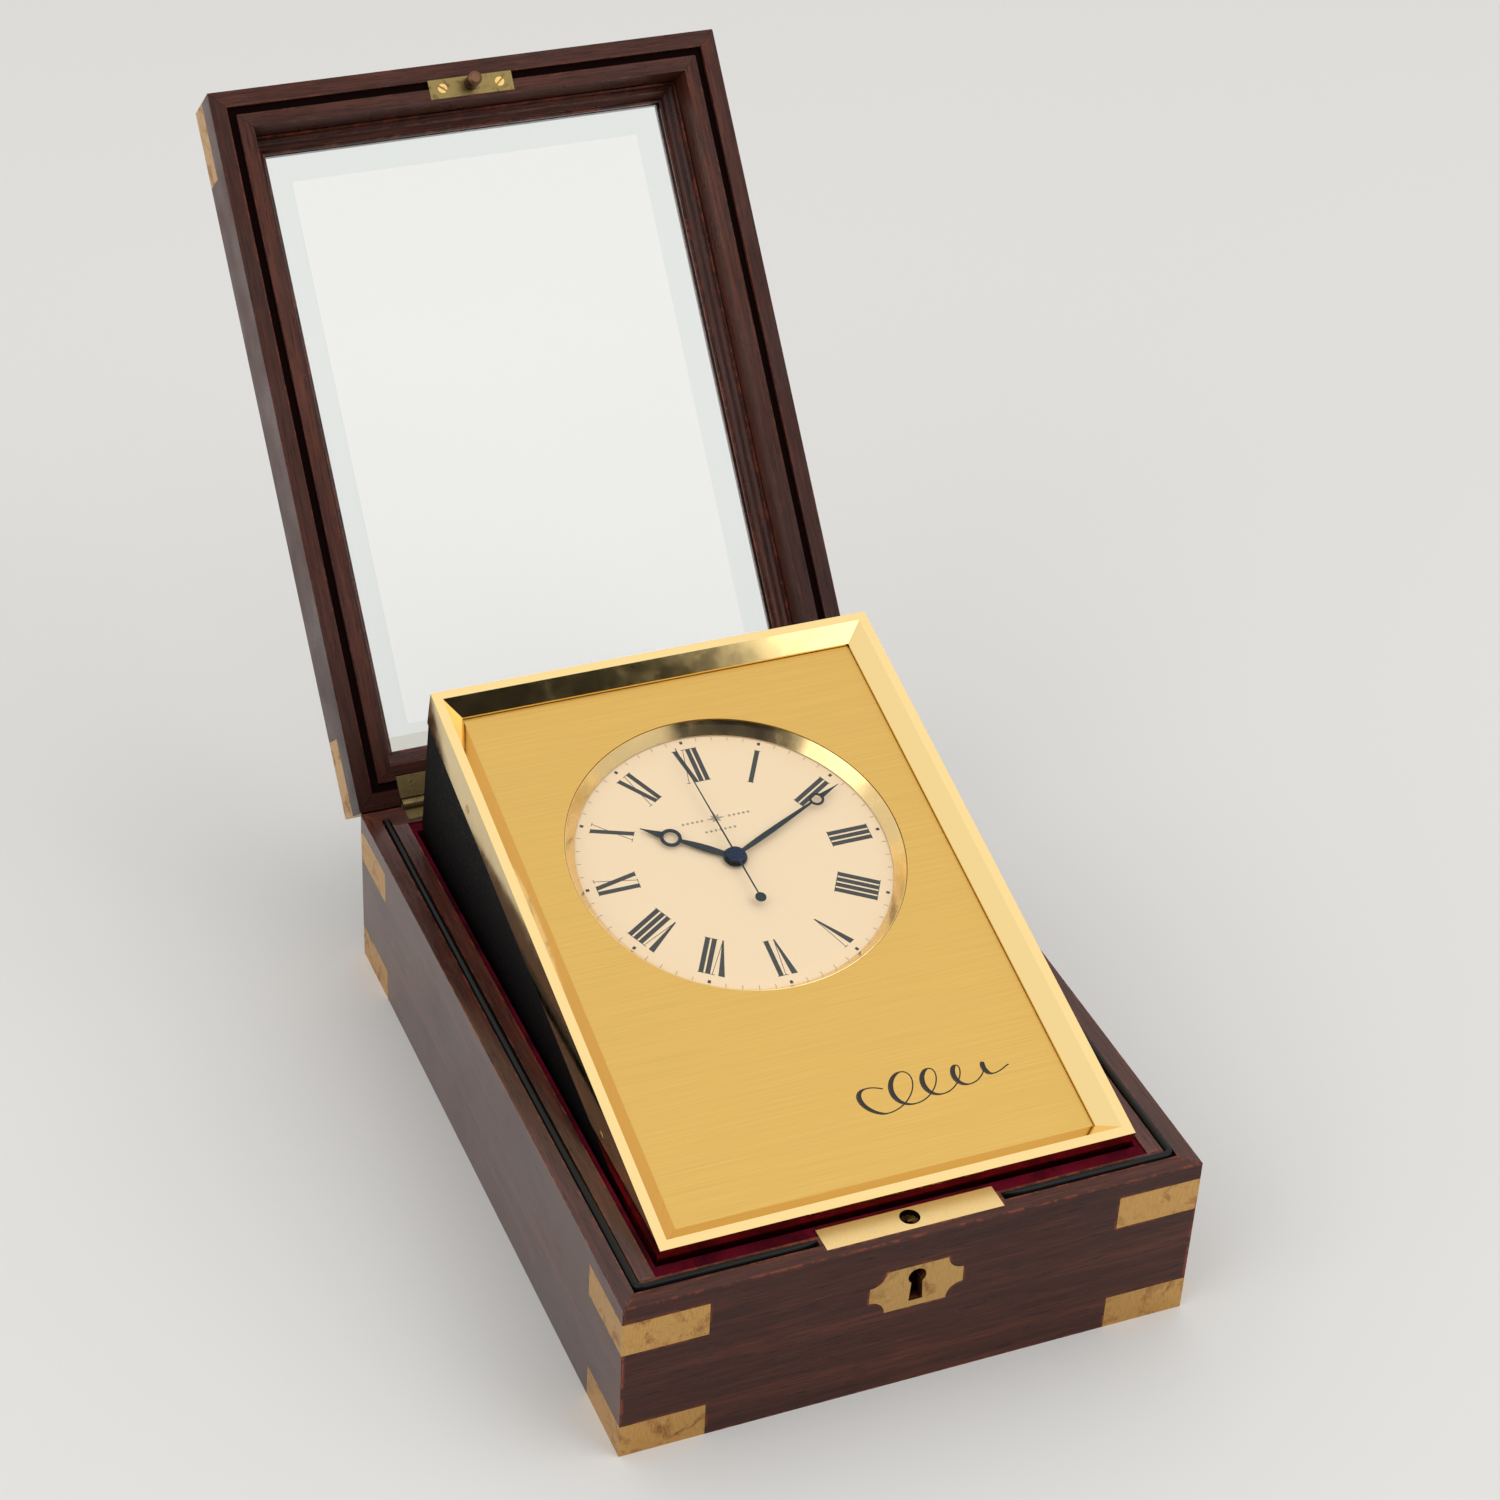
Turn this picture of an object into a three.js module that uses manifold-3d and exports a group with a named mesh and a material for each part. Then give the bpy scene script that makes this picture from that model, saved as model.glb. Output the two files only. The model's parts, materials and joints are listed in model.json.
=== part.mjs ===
// Boxed marine chronometer: a quartz clock that tilts up in a brass-bound, glazed mahogany box.
// Millimetres, +Z up. The origin is the centre of the box's underside and the keyhole faces -Y.
// At rest the lid stands open on its hinge stops and the clock leans back on its prop.
import * as THREE from "three";
import { mergeVertices } from "three/addons/utils/BufferGeometryUtils.js";
import Module from "manifold-3d";

// Box and lid
const BOX = { w: 165, d: 223, h: 52.5 };
const HX = BOX.w / 2;
const HY = BOX.d / 2;
const LID_T = 21;
const SEAM = 0.3; // gap between the closed lid and the box
const SIDE_WALL = 12.1;
const END_WALL = 8.5;
const MITRE_GAP = 0.06;
const LID_OPEN = 130; // degrees from closed

// Seal bead and its groove
const SEAL = { inset: 6.3, w: 2, proud: 1, back: HY - 5, lockEnd: 26.6 };
const GROOVE = { w: 2.6, depth: 1.6 };

// Bottom and velvet lining
const FLOOR_T = 3;
const LINING = { side: 1.5, end: 4, floor: 1, top: BOX.h - 0.5 };

// Brass corner straps
const STRAP = { leg: 24, tall: 10.8, t: 0.9, drop: 5.3, fit: 0.1 };

// Lock, keyhole plate and strike plate
const LOCK = { x: 25.25, yFront: -HY + 2.9, yBack: -HY + 10.8, holeY: -HY + 7.3, plateT: 1.2 };
const LOCK_CASE = { x: 22, y0: -HY + 3.9, y1: -HY + 10.6, z0: 27 };
const BOLT = { z0: 48.5, z1: 50.5, half: 2.5, slot: 1.4, x0: 3.2, x1: 17 };
const STUD = { hole: 2.8, r: 2.2, neck: 1.2 };
const ESCUTCHEON = { x: 13.5, z: 34.7, tall: 7.2, bite: 4.6, t: 0.8, eyeZ: 38, eyeR: 2.6, slot: 1.5, toe: 29.6 };
const STRIKE = { x: 13.6, y0: -HY + 4.8, y1: -HY + 10.9, t: 1 };

// Lid hinges
const HINGE = { y: HY + 0.3, z: BOX.h + SEAM / 2, x0: 44.3, x1: 69.3, r: 1.9, pin: 0.75, leafT: 1 };

// Lid frame, measured up from its mating face and in from its outside
const LID = { frame: 12.1, lip: 17, lipUnder: 18.9, glassIn: 16.4, glassEdge: 2.2, glassT: 4, bevel: 8.2 };

// Clock: leaned back about an axle, measured from the face's lower edge and down from its rim
const CLOCK = { w: 136, l: 193, axleUp: 11, axleDown: 17, depth: 56, skirt: 13 };
const AXLE = { y: -84.4, z: 44.2, r: 2, hole: 2.3 };
const TILT = 15.6; // degrees
const DIAL_UP = 120.8;
const LEDGE = 46.7;
const COVER = { z0: 47, z1: 49 };

// Dial and hands, as depths below the rim
const PLATE = { top: 5.2, t: 2, hole: 48.75 };
const RING = { outer: 48.35, top: 5.35, bottom: 9.1, rTop: 48.1, rBottom: 45.6 };
const CRYSTAL = { r: 47, top: 5.6, bottom: 6.4 };
const DIAL = { r: 48.2, top: 9.4, bottom: 10.2, hole: 2.6 };
const TIME = { hour: 10, minute: 11, second: 59.2 };

// Gears: teeth, module and place of each arbor around the dial centre
const TRAIN = {
  motionAt: { angle: -70, distance: 15.6 },
  thirdAt: { angle: 200, distance: 15.3 },
  rotorAt: { angle: 60, distance: 15.84 },
};
const ARBOR = 0.6;
const PLATES = { front: 13.4, frontT: 1.2, back: 30.5, backT: 1.6, half: 30, pillar: 25 };

// Prop strut hinged to the back cover, beside the setting knob
const PROP = { up: 150.1, down: 52.4, length: 80, half: 32, bar: 3, x0: -16, x1: -4, t: 2.4, open: 15.6 };

const rad = THREE.MathUtils.degToRad;
const wasm = await Module();
wasm.setup();

// ---------- solids ----------

function solidOf(geometry) {
  const plain = geometry.index ? geometry.toNonIndexed() : geometry.clone();
  plain.deleteAttribute("normal");
  plain.deleteAttribute("uv");
  const merged = mergeVertices(plain, 1e-4);
  return new wasm.Manifold(
    new wasm.Mesh({
      numProp: 3,
      vertProperties: merged.attributes.position.array,
      triVerts: new Uint32Array(merged.index.array),
    }),
  );
}

function geometryOf(solid) {
  const mesh = solid.getMesh();
  const positions = new Float32Array(mesh.numVert * 3);
  for (let i = 0; i < mesh.numVert; i++) {
    positions.set(mesh.vertProperties.subarray(i * mesh.numProp, i * mesh.numProp + 3), i * 3);
  }
  const geometry = new THREE.BufferGeometry();
  geometry.setAttribute("position", new THREE.BufferAttribute(positions, 3));
  geometry.setIndex(new THREE.BufferAttribute(mesh.triVerts, 1));
  geometry.computeVertexNormals();
  return geometry;
}

const join = (first, ...rest) => rest.reduce((sum, solid) => sum.add(solid), first);
const cut = (first, ...tools) => tools.reduce((left, tool) => left.subtract(tool), first);

function box(x0, x1, y0, y1, z0, z1) {
  const geometry = new THREE.BoxGeometry(Math.abs(x1 - x0), Math.abs(y1 - y0), Math.abs(z1 - z0));
  return solidOf(geometry.translate((x0 + x1) / 2, (y0 + y1) / 2, (z0 + z1) / 2));
}

function extruded(shape, z0, z1, curveSegments = 8) {
  const geometry = new THREE.ExtrudeGeometry(shape, { depth: z1 - z0, bevelEnabled: false, curveSegments });
  return geometry.translate(0, 0, z0);
}

const shapeOf = (points) => new THREE.Shape(points.map(([x, y]) => new THREE.Vector2(x, y)));
const prism = (points, z0, z1) => solidOf(extruded(shapeOf(points), z0, z1));

// An outline in (y, z) extruded along X.
function prismX(points, x0, x1) {
  const turn = new THREE.Matrix4().makeBasis(
    new THREE.Vector3(0, 1, 0),
    new THREE.Vector3(0, 0, 1),
    new THREE.Vector3(1, 0, 0),
  );
  return solidOf(extruded(shapeOf(points), x0, x1).applyMatrix4(turn));
}

// An outline in (x, z) extruded along Y, from the lower y0 to y1.
function prismY(shape, y0, y1) {
  const geometry = extruded(shape, -y1, -y0).rotateX(Math.PI / 2);
  return solidOf(geometry);
}

function disc(r, z0, z1, x = 0, y = 0, segments = 32) {
  const geometry = new THREE.CylinderGeometry(r, r, z1 - z0, segments).rotateX(Math.PI / 2);
  return solidOf(geometry.translate(x, y, (z0 + z1) / 2));
}

function rodX(r, x0, x1, y, z, segments = 16) {
  const geometry = new THREE.CylinderGeometry(r, r, x1 - x0, segments).rotateZ(Math.PI / 2);
  return solidOf(geometry.translate((x0 + x1) / 2, y, z));
}

const lathe = (points, segments = 32) =>
  solidOf(
    new THREE.LatheGeometry(
      points.map(([r, z]) => new THREE.Vector2(r, z)),
      segments,
    ).rotateX(Math.PI / 2),
  );

// A closed section swept round a rectangle with mitred corners. Section points are
// [inset from the outside, height] and run up the outside, inwards, and down the inside.
function mitredFrame(section, halfX, halfY) {
  const corners = [
    [-1, -1],
    [1, -1],
    [1, 1],
    [-1, 1],
  ];
  const at = (i, j) => {
    const [sx, sy] = corners[i % corners.length];
    const [inset, z] = section[j % section.length];
    return [sx * (halfX - inset), sy * (halfY - inset), z];
  };
  const positions = [];
  for (let i = 0; i < corners.length; i++) {
    for (let j = 0; j < section.length; j++) {
      const quad = [at(i, j), at(i + 1, j), at(i + 1, j + 1), at(i, j + 1)];
      positions.push(...quad[0], ...quad[1], ...quad[2], ...quad[0], ...quad[2], ...quad[3]);
    }
  }
  const geometry = new THREE.BufferGeometry();
  geometry.setAttribute("position", new THREE.Float32BufferAttribute(positions, 3));
  return solidOf(geometry);
}

// A rectangular block whose top face is smaller than its bottom face.
function frustum(halfX0, halfY0, z0, halfX1, halfY1, z1) {
  const geometry = new THREE.BoxGeometry(2, 2, z1 - z0).translate(0, 0, (z0 + z1) / 2);
  const position = geometry.attributes.position;
  const middle = (z0 + z1) / 2;
  for (let i = 0; i < position.count; i++) {
    const top = position.getZ(i) > middle;
    position.setX(i, position.getX(i) * (top ? halfX1 : halfX0));
    position.setY(i, position.getY(i) * (top ? halfY1 : halfY0));
  }
  return solidOf(geometry);
}

// ---------- materials ----------

const finish = (color, roughness, metalness) => new THREE.MeshStandardMaterial({ color, roughness, metalness });
const MAHOGANY = finish(0x3a1f1c, 0.42, 0);
const BRASS = finish(0xb58a48, 0.38, 1);
const OLD_BRASS = finish(0x8f7440, 0.5, 1);
const GOLD = finish(0xf0c050, 0.08, 1);
const BRUSHED_GOLD = finish(0xd8ab4a, 0.34, 1);
const VELVET = finish(0x4a0812, 0.95, 0);
const RUBBER = finish(0x1c1f1c, 0.6, 0);
const LEATHER = finish(0x15181a, 0.6, 0);
const CREAM = finish(0xf0dcb8, 0.6, 0);
const BLUED = finish(0x1c2833, 0.35, 1);
const STEEL = finish(0x9a9c9e, 0.35, 1);
const BLACK_PLASTIC = finish(0x1b1b1b, 0.5, 0);
const BOARD = finish(0x245c34, 0.6, 0);
const COPPER = finish(0x9c5a32, 0.4, 1);
const GLASS = new THREE.MeshStandardMaterial({ color: 0xe8f0ee, roughness: 0.02, transparent: true, opacity: 0.25 });

const root = new THREE.Group();

function piece(name, solid, material, parent = root) {
  const mesh = new THREE.Mesh(geometryOf(solid), material);
  mesh.name = name;
  parent.add(mesh);
  return mesh;
}

// ---------- cutters shared by walls and fittings ----------

// L-shaped corner strap, or its pocket when fit is above 0. sx and sy pick the corner.
function cornerStrap(sx, sy, z0, z1, fit = 0) {
  const t = STRAP.t + fit;
  const leg = STRAP.leg + fit;
  const along = (half, sign, from, to) => [sign * (half - from), sign * (half - to)].sort((a, b) => a - b);
  const out = fit ? -1 : 0;
  const alongX = box(...along(HX, sx, out, leg), ...along(HY, sy, out, t), z0 - fit, z1 + fit);
  const alongY = box(...along(HX, sx, out, t), ...along(HY, sy, out, leg), z0 - fit, z1 + fit);
  return join(alongX, alongY);
}

const BASE_STRAPS = [
  ["lower", 0, STRAP.tall],
  ["upper", BOX.h - STRAP.drop - STRAP.tall, BOX.h - STRAP.drop],
];
const CORNERS = [
  ["front_left", -1, -1],
  ["front_right", 1, -1],
  ["back_left", -1, 1],
  ["back_right", 1, 1],
];

// Seal bead along one side wall, round the front corner and up to the lock.
function sealRun(side, width, z0, z1, extra = 0) {
  const x = side * (HX - SEAL.inset);
  const y = -HY + SEAL.inset;
  const h = width / 2;
  const points = [
    [x - side * h, SEAL.back + extra],
    [x - side * h, y + h],
    [side * (SEAL.lockEnd - extra), y + h],
    [side * (SEAL.lockEnd - extra), y - h],
    [x + side * h, y - h],
    [x + side * h, SEAL.back + extra],
  ];
  return prism(points, z0, z1);
}

// Keyhole plate outline: a rectangle whose corners are bitten by quarter circles.
function escutcheonShape(grow = 0) {
  const x = ESCUTCHEON.x + grow;
  const z = ESCUTCHEON.tall + grow;
  const r = ESCUTCHEON.bite;
  const shape = new THREE.Shape();
  shape.moveTo(-x + r, -z);
  shape.lineTo(x - r, -z);
  shape.absarc(x, -z, r, Math.PI, Math.PI / 2, true);
  shape.lineTo(x, z - r);
  shape.absarc(x, z, r, -Math.PI / 2, -Math.PI, true);
  shape.lineTo(-x + r, z);
  shape.absarc(-x, z, r, 0, -Math.PI / 2, true);
  shape.lineTo(-x, -z + r);
  shape.absarc(-x, -z, r, Math.PI / 2, 0, true);
  return shape;
}

// Keyhole through the plate and the wall, from y0 to y1.
function keyhole(y0, y1) {
  const eye = solidOf(
    new THREE.CylinderGeometry(ESCUTCHEON.eyeR, ESCUTCHEON.eyeR, y1 - y0, 20).translate(
      0,
      (y0 + y1) / 2,
      ESCUTCHEON.eyeZ,
    ),
  );
  const flare = ESCUTCHEON.slot + 0.5;
  const slot = shapeOf([
    [-flare, ESCUTCHEON.toe],
    [flare, ESCUTCHEON.toe],
    [ESCUTCHEON.slot, ESCUTCHEON.eyeZ],
    [-ESCUTCHEON.slot, ESCUTCHEON.eyeZ],
  ]);
  return join(eye, prismY(slot, y0, y1));
}

// ---------- box ----------

function endWallBlank(sy) {
  const g = MITRE_GAP;
  const points = [
    [-HX + g, -HY],
    [HX - g, -HY],
    [HX - END_WALL - g, -HY + END_WALL],
    [-HX + END_WALL + g, -HY + END_WALL],
  ];
  const placed = sy < 0 ? points : points.map(([x, y]) => [-x, -y]);
  return prism(placed, 0, BOX.h);
}

function sideWallBlank(sx) {
  const g = MITRE_GAP;
  const points = [
    [-HX, -HY + g],
    [-HX + END_WALL, -HY + END_WALL + g],
    [-HX + SIDE_WALL, -HY + END_WALL + g],
    [-HX + SIDE_WALL, HY - END_WALL - g],
    [-HX + END_WALL, HY - END_WALL - g],
    [-HX, HY - g],
  ];
  const placed = sx < 0 ? points : points.map(([x, y]) => [-x, -y]);
  return prism(placed, 0, BOX.h);
}

function cutFittings(wall) {
  let left = wall;
  for (const [, sx, sy] of CORNERS) {
    for (const [, z0, z1] of BASE_STRAPS) {
      left = left.subtract(cornerStrap(sx, sy, z0 ? z0 : -1, z1, STRAP.fit));
    }
  }
  const grooveEnd = (GROOVE.w - SEAL.w) / 2;
  for (const side of [-1, 1]) {
    left = left.subtract(sealRun(side, GROOVE.w, BOX.h - GROOVE.depth, BOX.h + 1, grooveEnd));
  }
  return left;
}

function buildWalls() {
  const lockMortise = box(-LOCK_CASE.x - 0.3, LOCK_CASE.x + 0.3, LOCK_CASE.y0 - 0.3, -HY + 20, 26.7, BOX.h + 1);
  const plateSeat = box(-LOCK.x - 0.1, LOCK.x + 0.1, LOCK.yFront - 0.1, -HY + 20, BOX.h - LOCK.plateT - 0.1, BOX.h + 1);
  const escutcheonSeat = prismY(escutcheonShape(0.1), -HY - 1, -HY + ESCUTCHEON.t + 0.1).translate([
    0,
    0,
    ESCUTCHEON.z,
  ]);
  const front = cut(
    cutFittings(endWallBlank(-1)),
    lockMortise,
    plateSeat,
    escutcheonSeat,
    keyhole(-HY - 1, LOCK_CASE.y0 + 1),
  );
  piece("base_front_wall", front, MAHOGANY);

  let back = cutFittings(endWallBlank(1));
  for (const side of [-1, 1]) {
    back = cut(back, hingeSeat(side, BOX.h - HINGE.leafT - 0.2, BOX.h + 1, HY - 6.6), knuckleRelief(side));
  }
  piece("base_back_wall", back, MAHOGANY);

  for (const [name, sx] of [
    ["left", -1],
    ["right", 1],
  ]) {
    const inner = HX - SIDE_WALL;
    const bore = [sx * (inner - 1), sx * (inner + 7.6)].sort((a, b) => a - b);
    const wall = cut(cutFittings(sideWallBlank(sx)), rodX(AXLE.hole, ...bore, AXLE.y, AXLE.z));
    piece(`base_${name}_wall`, wall, MAHOGANY);
  }
}

function buildFloorAndLining() {
  const x = HX - SIDE_WALL - 0.15;
  const y = HY - END_WALL - 0.15;
  piece("base_bottom_board", box(-x, x, -y, y, 0, FLOOR_T), MAHOGANY);

  const z0 = FLOOR_T + 0.1;
  const innerX = HX - SIDE_WALL - LINING.side;
  const innerY = HY - END_WALL - LINING.end;
  const lockNotch = box(-LOCK_CASE.x - 0.6, LOCK_CASE.x + 0.6, -HY, LOCK_CASE.y1 + 0.4, LOCK_CASE.z0 - 0.6, BOX.h + 1);
  const plateNotch = box(-LOCK.x - 0.4, LOCK.x + 0.4, -HY, LOCK.yBack + 0.3, BOX.h - 2, BOX.h + 1);
  const tray = cut(
    box(-x, x, -y, y, z0, LINING.top),
    box(-innerX, innerX, -innerY, innerY, z0 + LINING.floor, BOX.h + 1),
    lockNotch,
    plateNotch,
    rodX(AXLE.hole + 0.5, -HX, HX, AXLE.y, AXLE.z),
  );
  piece("velvet_lining", tray, VELVET);
}

function buildSeals() {
  const z0 = BOX.h - GROOVE.depth + 0.1;
  piece("dust_seal_left", sealRun(-1, SEAL.w, z0, BOX.h + SEAL.proud), RUBBER);
  piece("dust_seal_right", sealRun(1, SEAL.w, z0, BOX.h + SEAL.proud), RUBBER);
}

function buildBaseStraps() {
  for (const [corner, sx, sy] of CORNERS) {
    for (const [level, z0, z1] of BASE_STRAPS) {
      piece(`strap_${corner}_${level}`, cornerStrap(sx, sy, z0, z1), BRASS);
    }
  }
}

// ---------- lock ----------

function buildLock() {
  const top = BOX.h - LOCK.plateT;
  const plate = box(-LOCK.x, LOCK.x, LOCK.yFront, LOCK.yBack, top, BOX.h);
  const caseBody = box(-LOCK_CASE.x, LOCK_CASE.x, LOCK_CASE.y0, LOCK_CASE.y1, LOCK_CASE.z0, top + 0.2);
  const channel = box(
    -BOLT.x0,
    BOLT.x1 + 1.5,
    LOCK.holeY - BOLT.half - 0.2,
    LOCK.holeY + BOLT.half + 0.2,
    BOLT.z0 - 0.2,
    BOLT.z1 + 0.2,
  );
  const studHole = disc(STUD.hole, BOX.h - 9, BOX.h + 1, 0, LOCK.holeY, 24);
  piece("lock_body", cut(join(plate, caseBody), channel, studHole), BRASS);

  const bar = box(BOLT.x0, BOLT.x1, LOCK.holeY - BOLT.half, LOCK.holeY + BOLT.half, BOLT.z0, BOLT.z1);
  const fork = box(BOLT.x0 - 1, BOLT.x0 + 5.5, LOCK.holeY - BOLT.slot, LOCK.holeY + BOLT.slot, 0, BOX.h);
  piece("lock_bolt", cut(bar, fork), STEEL);

  const face = prismY(escutcheonShape(), -HY, -HY + ESCUTCHEON.t).translate([0, 0, ESCUTCHEON.z]);
  piece("escutcheon", cut(face, keyhole(-HY - 1, -HY + 2)), BRASS);
}

// ---------- hinges ----------

const spanX = (side, x0, x1) => [side * x0, side * x1].sort((a, b) => a - b);

function hingeSeat(side, z0, z1, yInner) {
  return box(...spanX(side, HINGE.x0 - 0.1, HINGE.x1 + 0.1), yInner - 0.1, HINGE.y + 3, z0, z1);
}

function knuckleRelief(side) {
  return rodX(HINGE.r + 0.3, ...spanX(side, HINGE.x0 - 0.2, HINGE.x1 + 0.2), HINGE.y, HINGE.z);
}

// One leaf: a let-in plate and the knuckles it carries. Knuckle spans are fractions of the length.
function hingeLeaf(side, z0, z1, yInner, knuckles) {
  const length = HINGE.x1 - HINGE.x0;
  const clear = HINGE.y - HINGE.r - 0.35;
  let leaf = box(...spanX(side, HINGE.x0, HINGE.x1), yInner, clear, z0, z1);
  for (const [from, to] of knuckles) {
    const span = spanX(side, HINGE.x0 + from * length, HINGE.x0 + to * length);
    leaf = join(leaf, box(...span, clear - 0.5, HINGE.y, z0, z1), rodX(HINGE.r, ...span, HINGE.y, HINGE.z));
  }
  return cut(leaf, rodX(HINGE.pin + 0.2, ...spanX(side, HINGE.x0 - 1, HINGE.x1 + 1), HINGE.y, HINGE.z));
}

function buildHinges(lid) {
  const third = 1 / 3;
  const gap = 0.006;
  for (const [name, side] of [
    ["left", -1],
    ["right", 1],
  ]) {
    const outerKnuckles = [
      [0, third - gap],
      [2 * third + gap, 1],
    ];
    const below = BOX.h - 0.1;
    const above = BOX.h + SEAM + 0.1;
    const baseLeaf = hingeLeaf(side, below - HINGE.leafT, below, HY - 6.4, outerKnuckles);
    const lidLeaf = hingeLeaf(side, above, above + HINGE.leafT, HY - 8.8, [[third + gap, 2 * third - gap]]);
    piece(`hinge_base_leaf_${name}`, baseLeaf, OLD_BRASS);
    piece(`hinge_lid_leaf_${name}`, lidLeaf, OLD_BRASS, lid);
    const pin = rodX(HINGE.pin, ...spanX(side, HINGE.x0 - 0.1, HINGE.x1 + 0.1), HINGE.y, HINGE.z);
    piece(`hinge_pin_${name}`, pin, OLD_BRASS);
  }
}

// ---------- lid, drawn closed ----------

const LID_Z = BOX.h + SEAM;

function lidFrameRing() {
  const inner = LID.frame;
  const grooveOut = SEAL.inset - GROOVE.w / 2;
  const grooveIn = SEAL.inset + GROOVE.w / 2;
  const section = [
    [0, 0],
    [0, LID_T],
    [LID.lip, LID_T],
    [LID.lip, LID.lipUnder],
    [inner, LID.lipUnder],
    [inner, 0],
    [grooveIn, 0],
    [grooveIn, 2],
    [grooveOut, 2],
    [grooveOut, 0],
  ];
  return mitredFrame(
    section.map(([inset, z]) => [inset, z + LID_Z]),
    HX,
    HY,
  );
}

// Wedge that keeps one mitred side of the lid frame, from corner to corner.
function mitreWedge(sx, sy) {
  const k = LID.lip + 4;
  const g = MITRE_GAP;
  const alongX = [
    [-HX + g, -HY - 0.01],
    [HX - g, -HY - 0.01],
    [HX - k - g, -HY + k],
    [-HX + k + g, -HY + k],
  ];
  const alongY = [
    [-HX - 0.01, -HY + g],
    [-HX + k, -HY + k + g],
    [-HX + k, HY - k - g],
    [-HX - 0.01, HY - g],
  ];
  const points = sy ? alongX : alongY;
  const flip = sx > 0 || sy > 0;
  return prism(flip ? points.map(([x, y]) => [-x, -y]) : points, LID_Z - 1, LID_Z + LID_T + 1);
}

function buildLidFrame(lid) {
  let ring = lidFrameRing();
  const top = LID_Z + LID_T;
  for (const [corner, sx, sy] of CORNERS) {
    ring = ring.subtract(cornerStrap(sx, sy, top - STRAP.tall, top + 1, STRAP.fit));
    piece(`lid_strap_${corner}`, cornerStrap(sx, sy, top - STRAP.tall, top), BRASS, lid);
  }
  for (const side of [-1, 1]) {
    ring = cut(ring, hingeSeat(side, LID_Z - 1, LID_Z + HINGE.leafT + 0.2, HY - 9), knuckleRelief(side));
  }
  const strikeSeat = box(
    -STRIKE.x - 0.1,
    STRIKE.x + 0.1,
    STRIKE.y0 - 0.1,
    STRIKE.y1 + 0.1,
    LID_Z - 1,
    LID_Z + STRIKE.t + 0.2,
  );
  ring = ring.subtract(strikeSeat);
  piece("lid_front_rail", ring.intersect(mitreWedge(0, -1)), MAHOGANY, lid);
  piece("lid_back_rail", ring.intersect(mitreWedge(0, 1)), MAHOGANY, lid);
  piece("lid_left_stile", ring.intersect(mitreWedge(-1, 0)), MAHOGANY, lid);
  piece("lid_right_stile", ring.intersect(mitreWedge(1, 0)), MAHOGANY, lid);
}

function buildLidGlass(lid) {
  const x = HX - LID.frame - 0.4;
  const y = HY - LID.frame - 0.4;
  const z0 = LID_Z + LID.glassIn;
  const shoulder = z0 + LID.glassEdge;
  const sightX = HX - LID.lip - 0.3;
  const sightY = HY - LID.lip - 0.3;
  const slope = frustum(
    sightX,
    sightY,
    shoulder - 0.01,
    sightX - LID.bevel,
    sightY - LID.bevel,
    z0 + LID.glassT,
  );
  piece("lid_glass", join(box(-x, x, -y, y, z0, shoulder), slope), GLASS, lid);

  const beadTop = LID.glassIn - 0.3;
  const sight = LID.lip - LID.frame;
  const section = [
    [0, 10.8],
    [0, beadTop],
    [sight, beadTop],
    [sight, beadTop - 1.4],
    [sight - 2, beadTop - 2.6],
    [1, 10.8],
  ];
  const bead = mitredFrame(
    section.map(([inset, z]) => [inset, z + LID_Z]),
    HX - LID.frame - 0.3,
    HY - LID.frame - 0.3,
  );
  piece("glazing_bead", bead, MAHOGANY, lid);
}

function buildStrike(lid) {
  const plate = box(-STRIKE.x, STRIKE.x, STRIKE.y0, STRIKE.y1, LID_Z, LID_Z + STRIKE.t);
  const stud = lathe(
    [
      [0, -6.2],
      [1.4, -6.2],
      [STUD.r, -5.7],
      [STUD.r, -4.6],
      [STUD.neck, -4.6],
      [STUD.neck, -1.8],
      [STUD.r, -1.8],
      [STUD.r, 0.5],
      [0, 0.5],
    ],
    24,
  ).translate([0, LOCK.holeY, LID_Z]);
  piece("strike_plate", join(plate, stud), OLD_BRASS, lid);
}

function buildLid() {
  const turning = new THREE.Group();
  turning.position.set(0, HINGE.y, HINGE.z);
  turning.rotation.x = -rad(LID_OPEN);
  root.add(turning);
  const lid = new THREE.Group();
  lid.position.set(0, -HINGE.y, -HINGE.z);
  turning.add(lid);
  buildLidFrame(lid);
  buildLidGlass(lid);
  buildStrike(lid);
  return lid;
}

// ---------- clock case, drawn flat with its axle on the X axis ----------

const up = (fromLowerEdge) => fromLowerEdge - CLOCK.axleUp;
const down = (fromRim) => CLOCK.axleDown - fromRim;
const slab = (halfX, up0, up1, depth0, depth1) => box(-halfX, halfX, up(up0), up(up1), down(depth1), down(depth0));

function buildBezel(clock) {
  const middle = up(CLOCK.l / 2);
  const section = [
    [0, down(CLOCK.skirt)],
    [0, down(0)],
    [2.8, down(0)],
    [7.5, down(4.3)],
    [7.5, down(4.9)],
    [2.2, down(4.9)],
    [2.2, down(CLOCK.skirt)],
  ];
  const bezel = mitredFrame(section, CLOCK.w / 2, CLOCK.l / 2).translate([0, middle, 0]);
  piece("bezel_frame", bezel, GOLD, clock);

  const inset = 2.6;
  const plate = cut(
    slab(CLOCK.w / 2 - inset, inset, CLOCK.l - inset, PLATE.top, PLATE.top + PLATE.t),
    disc(PLATE.hole, down(20), down(0), 0, up(DIAL_UP), 72),
  );
  piece("front_plate", plate, BRUSHED_GOLD, clock);
}

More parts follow.
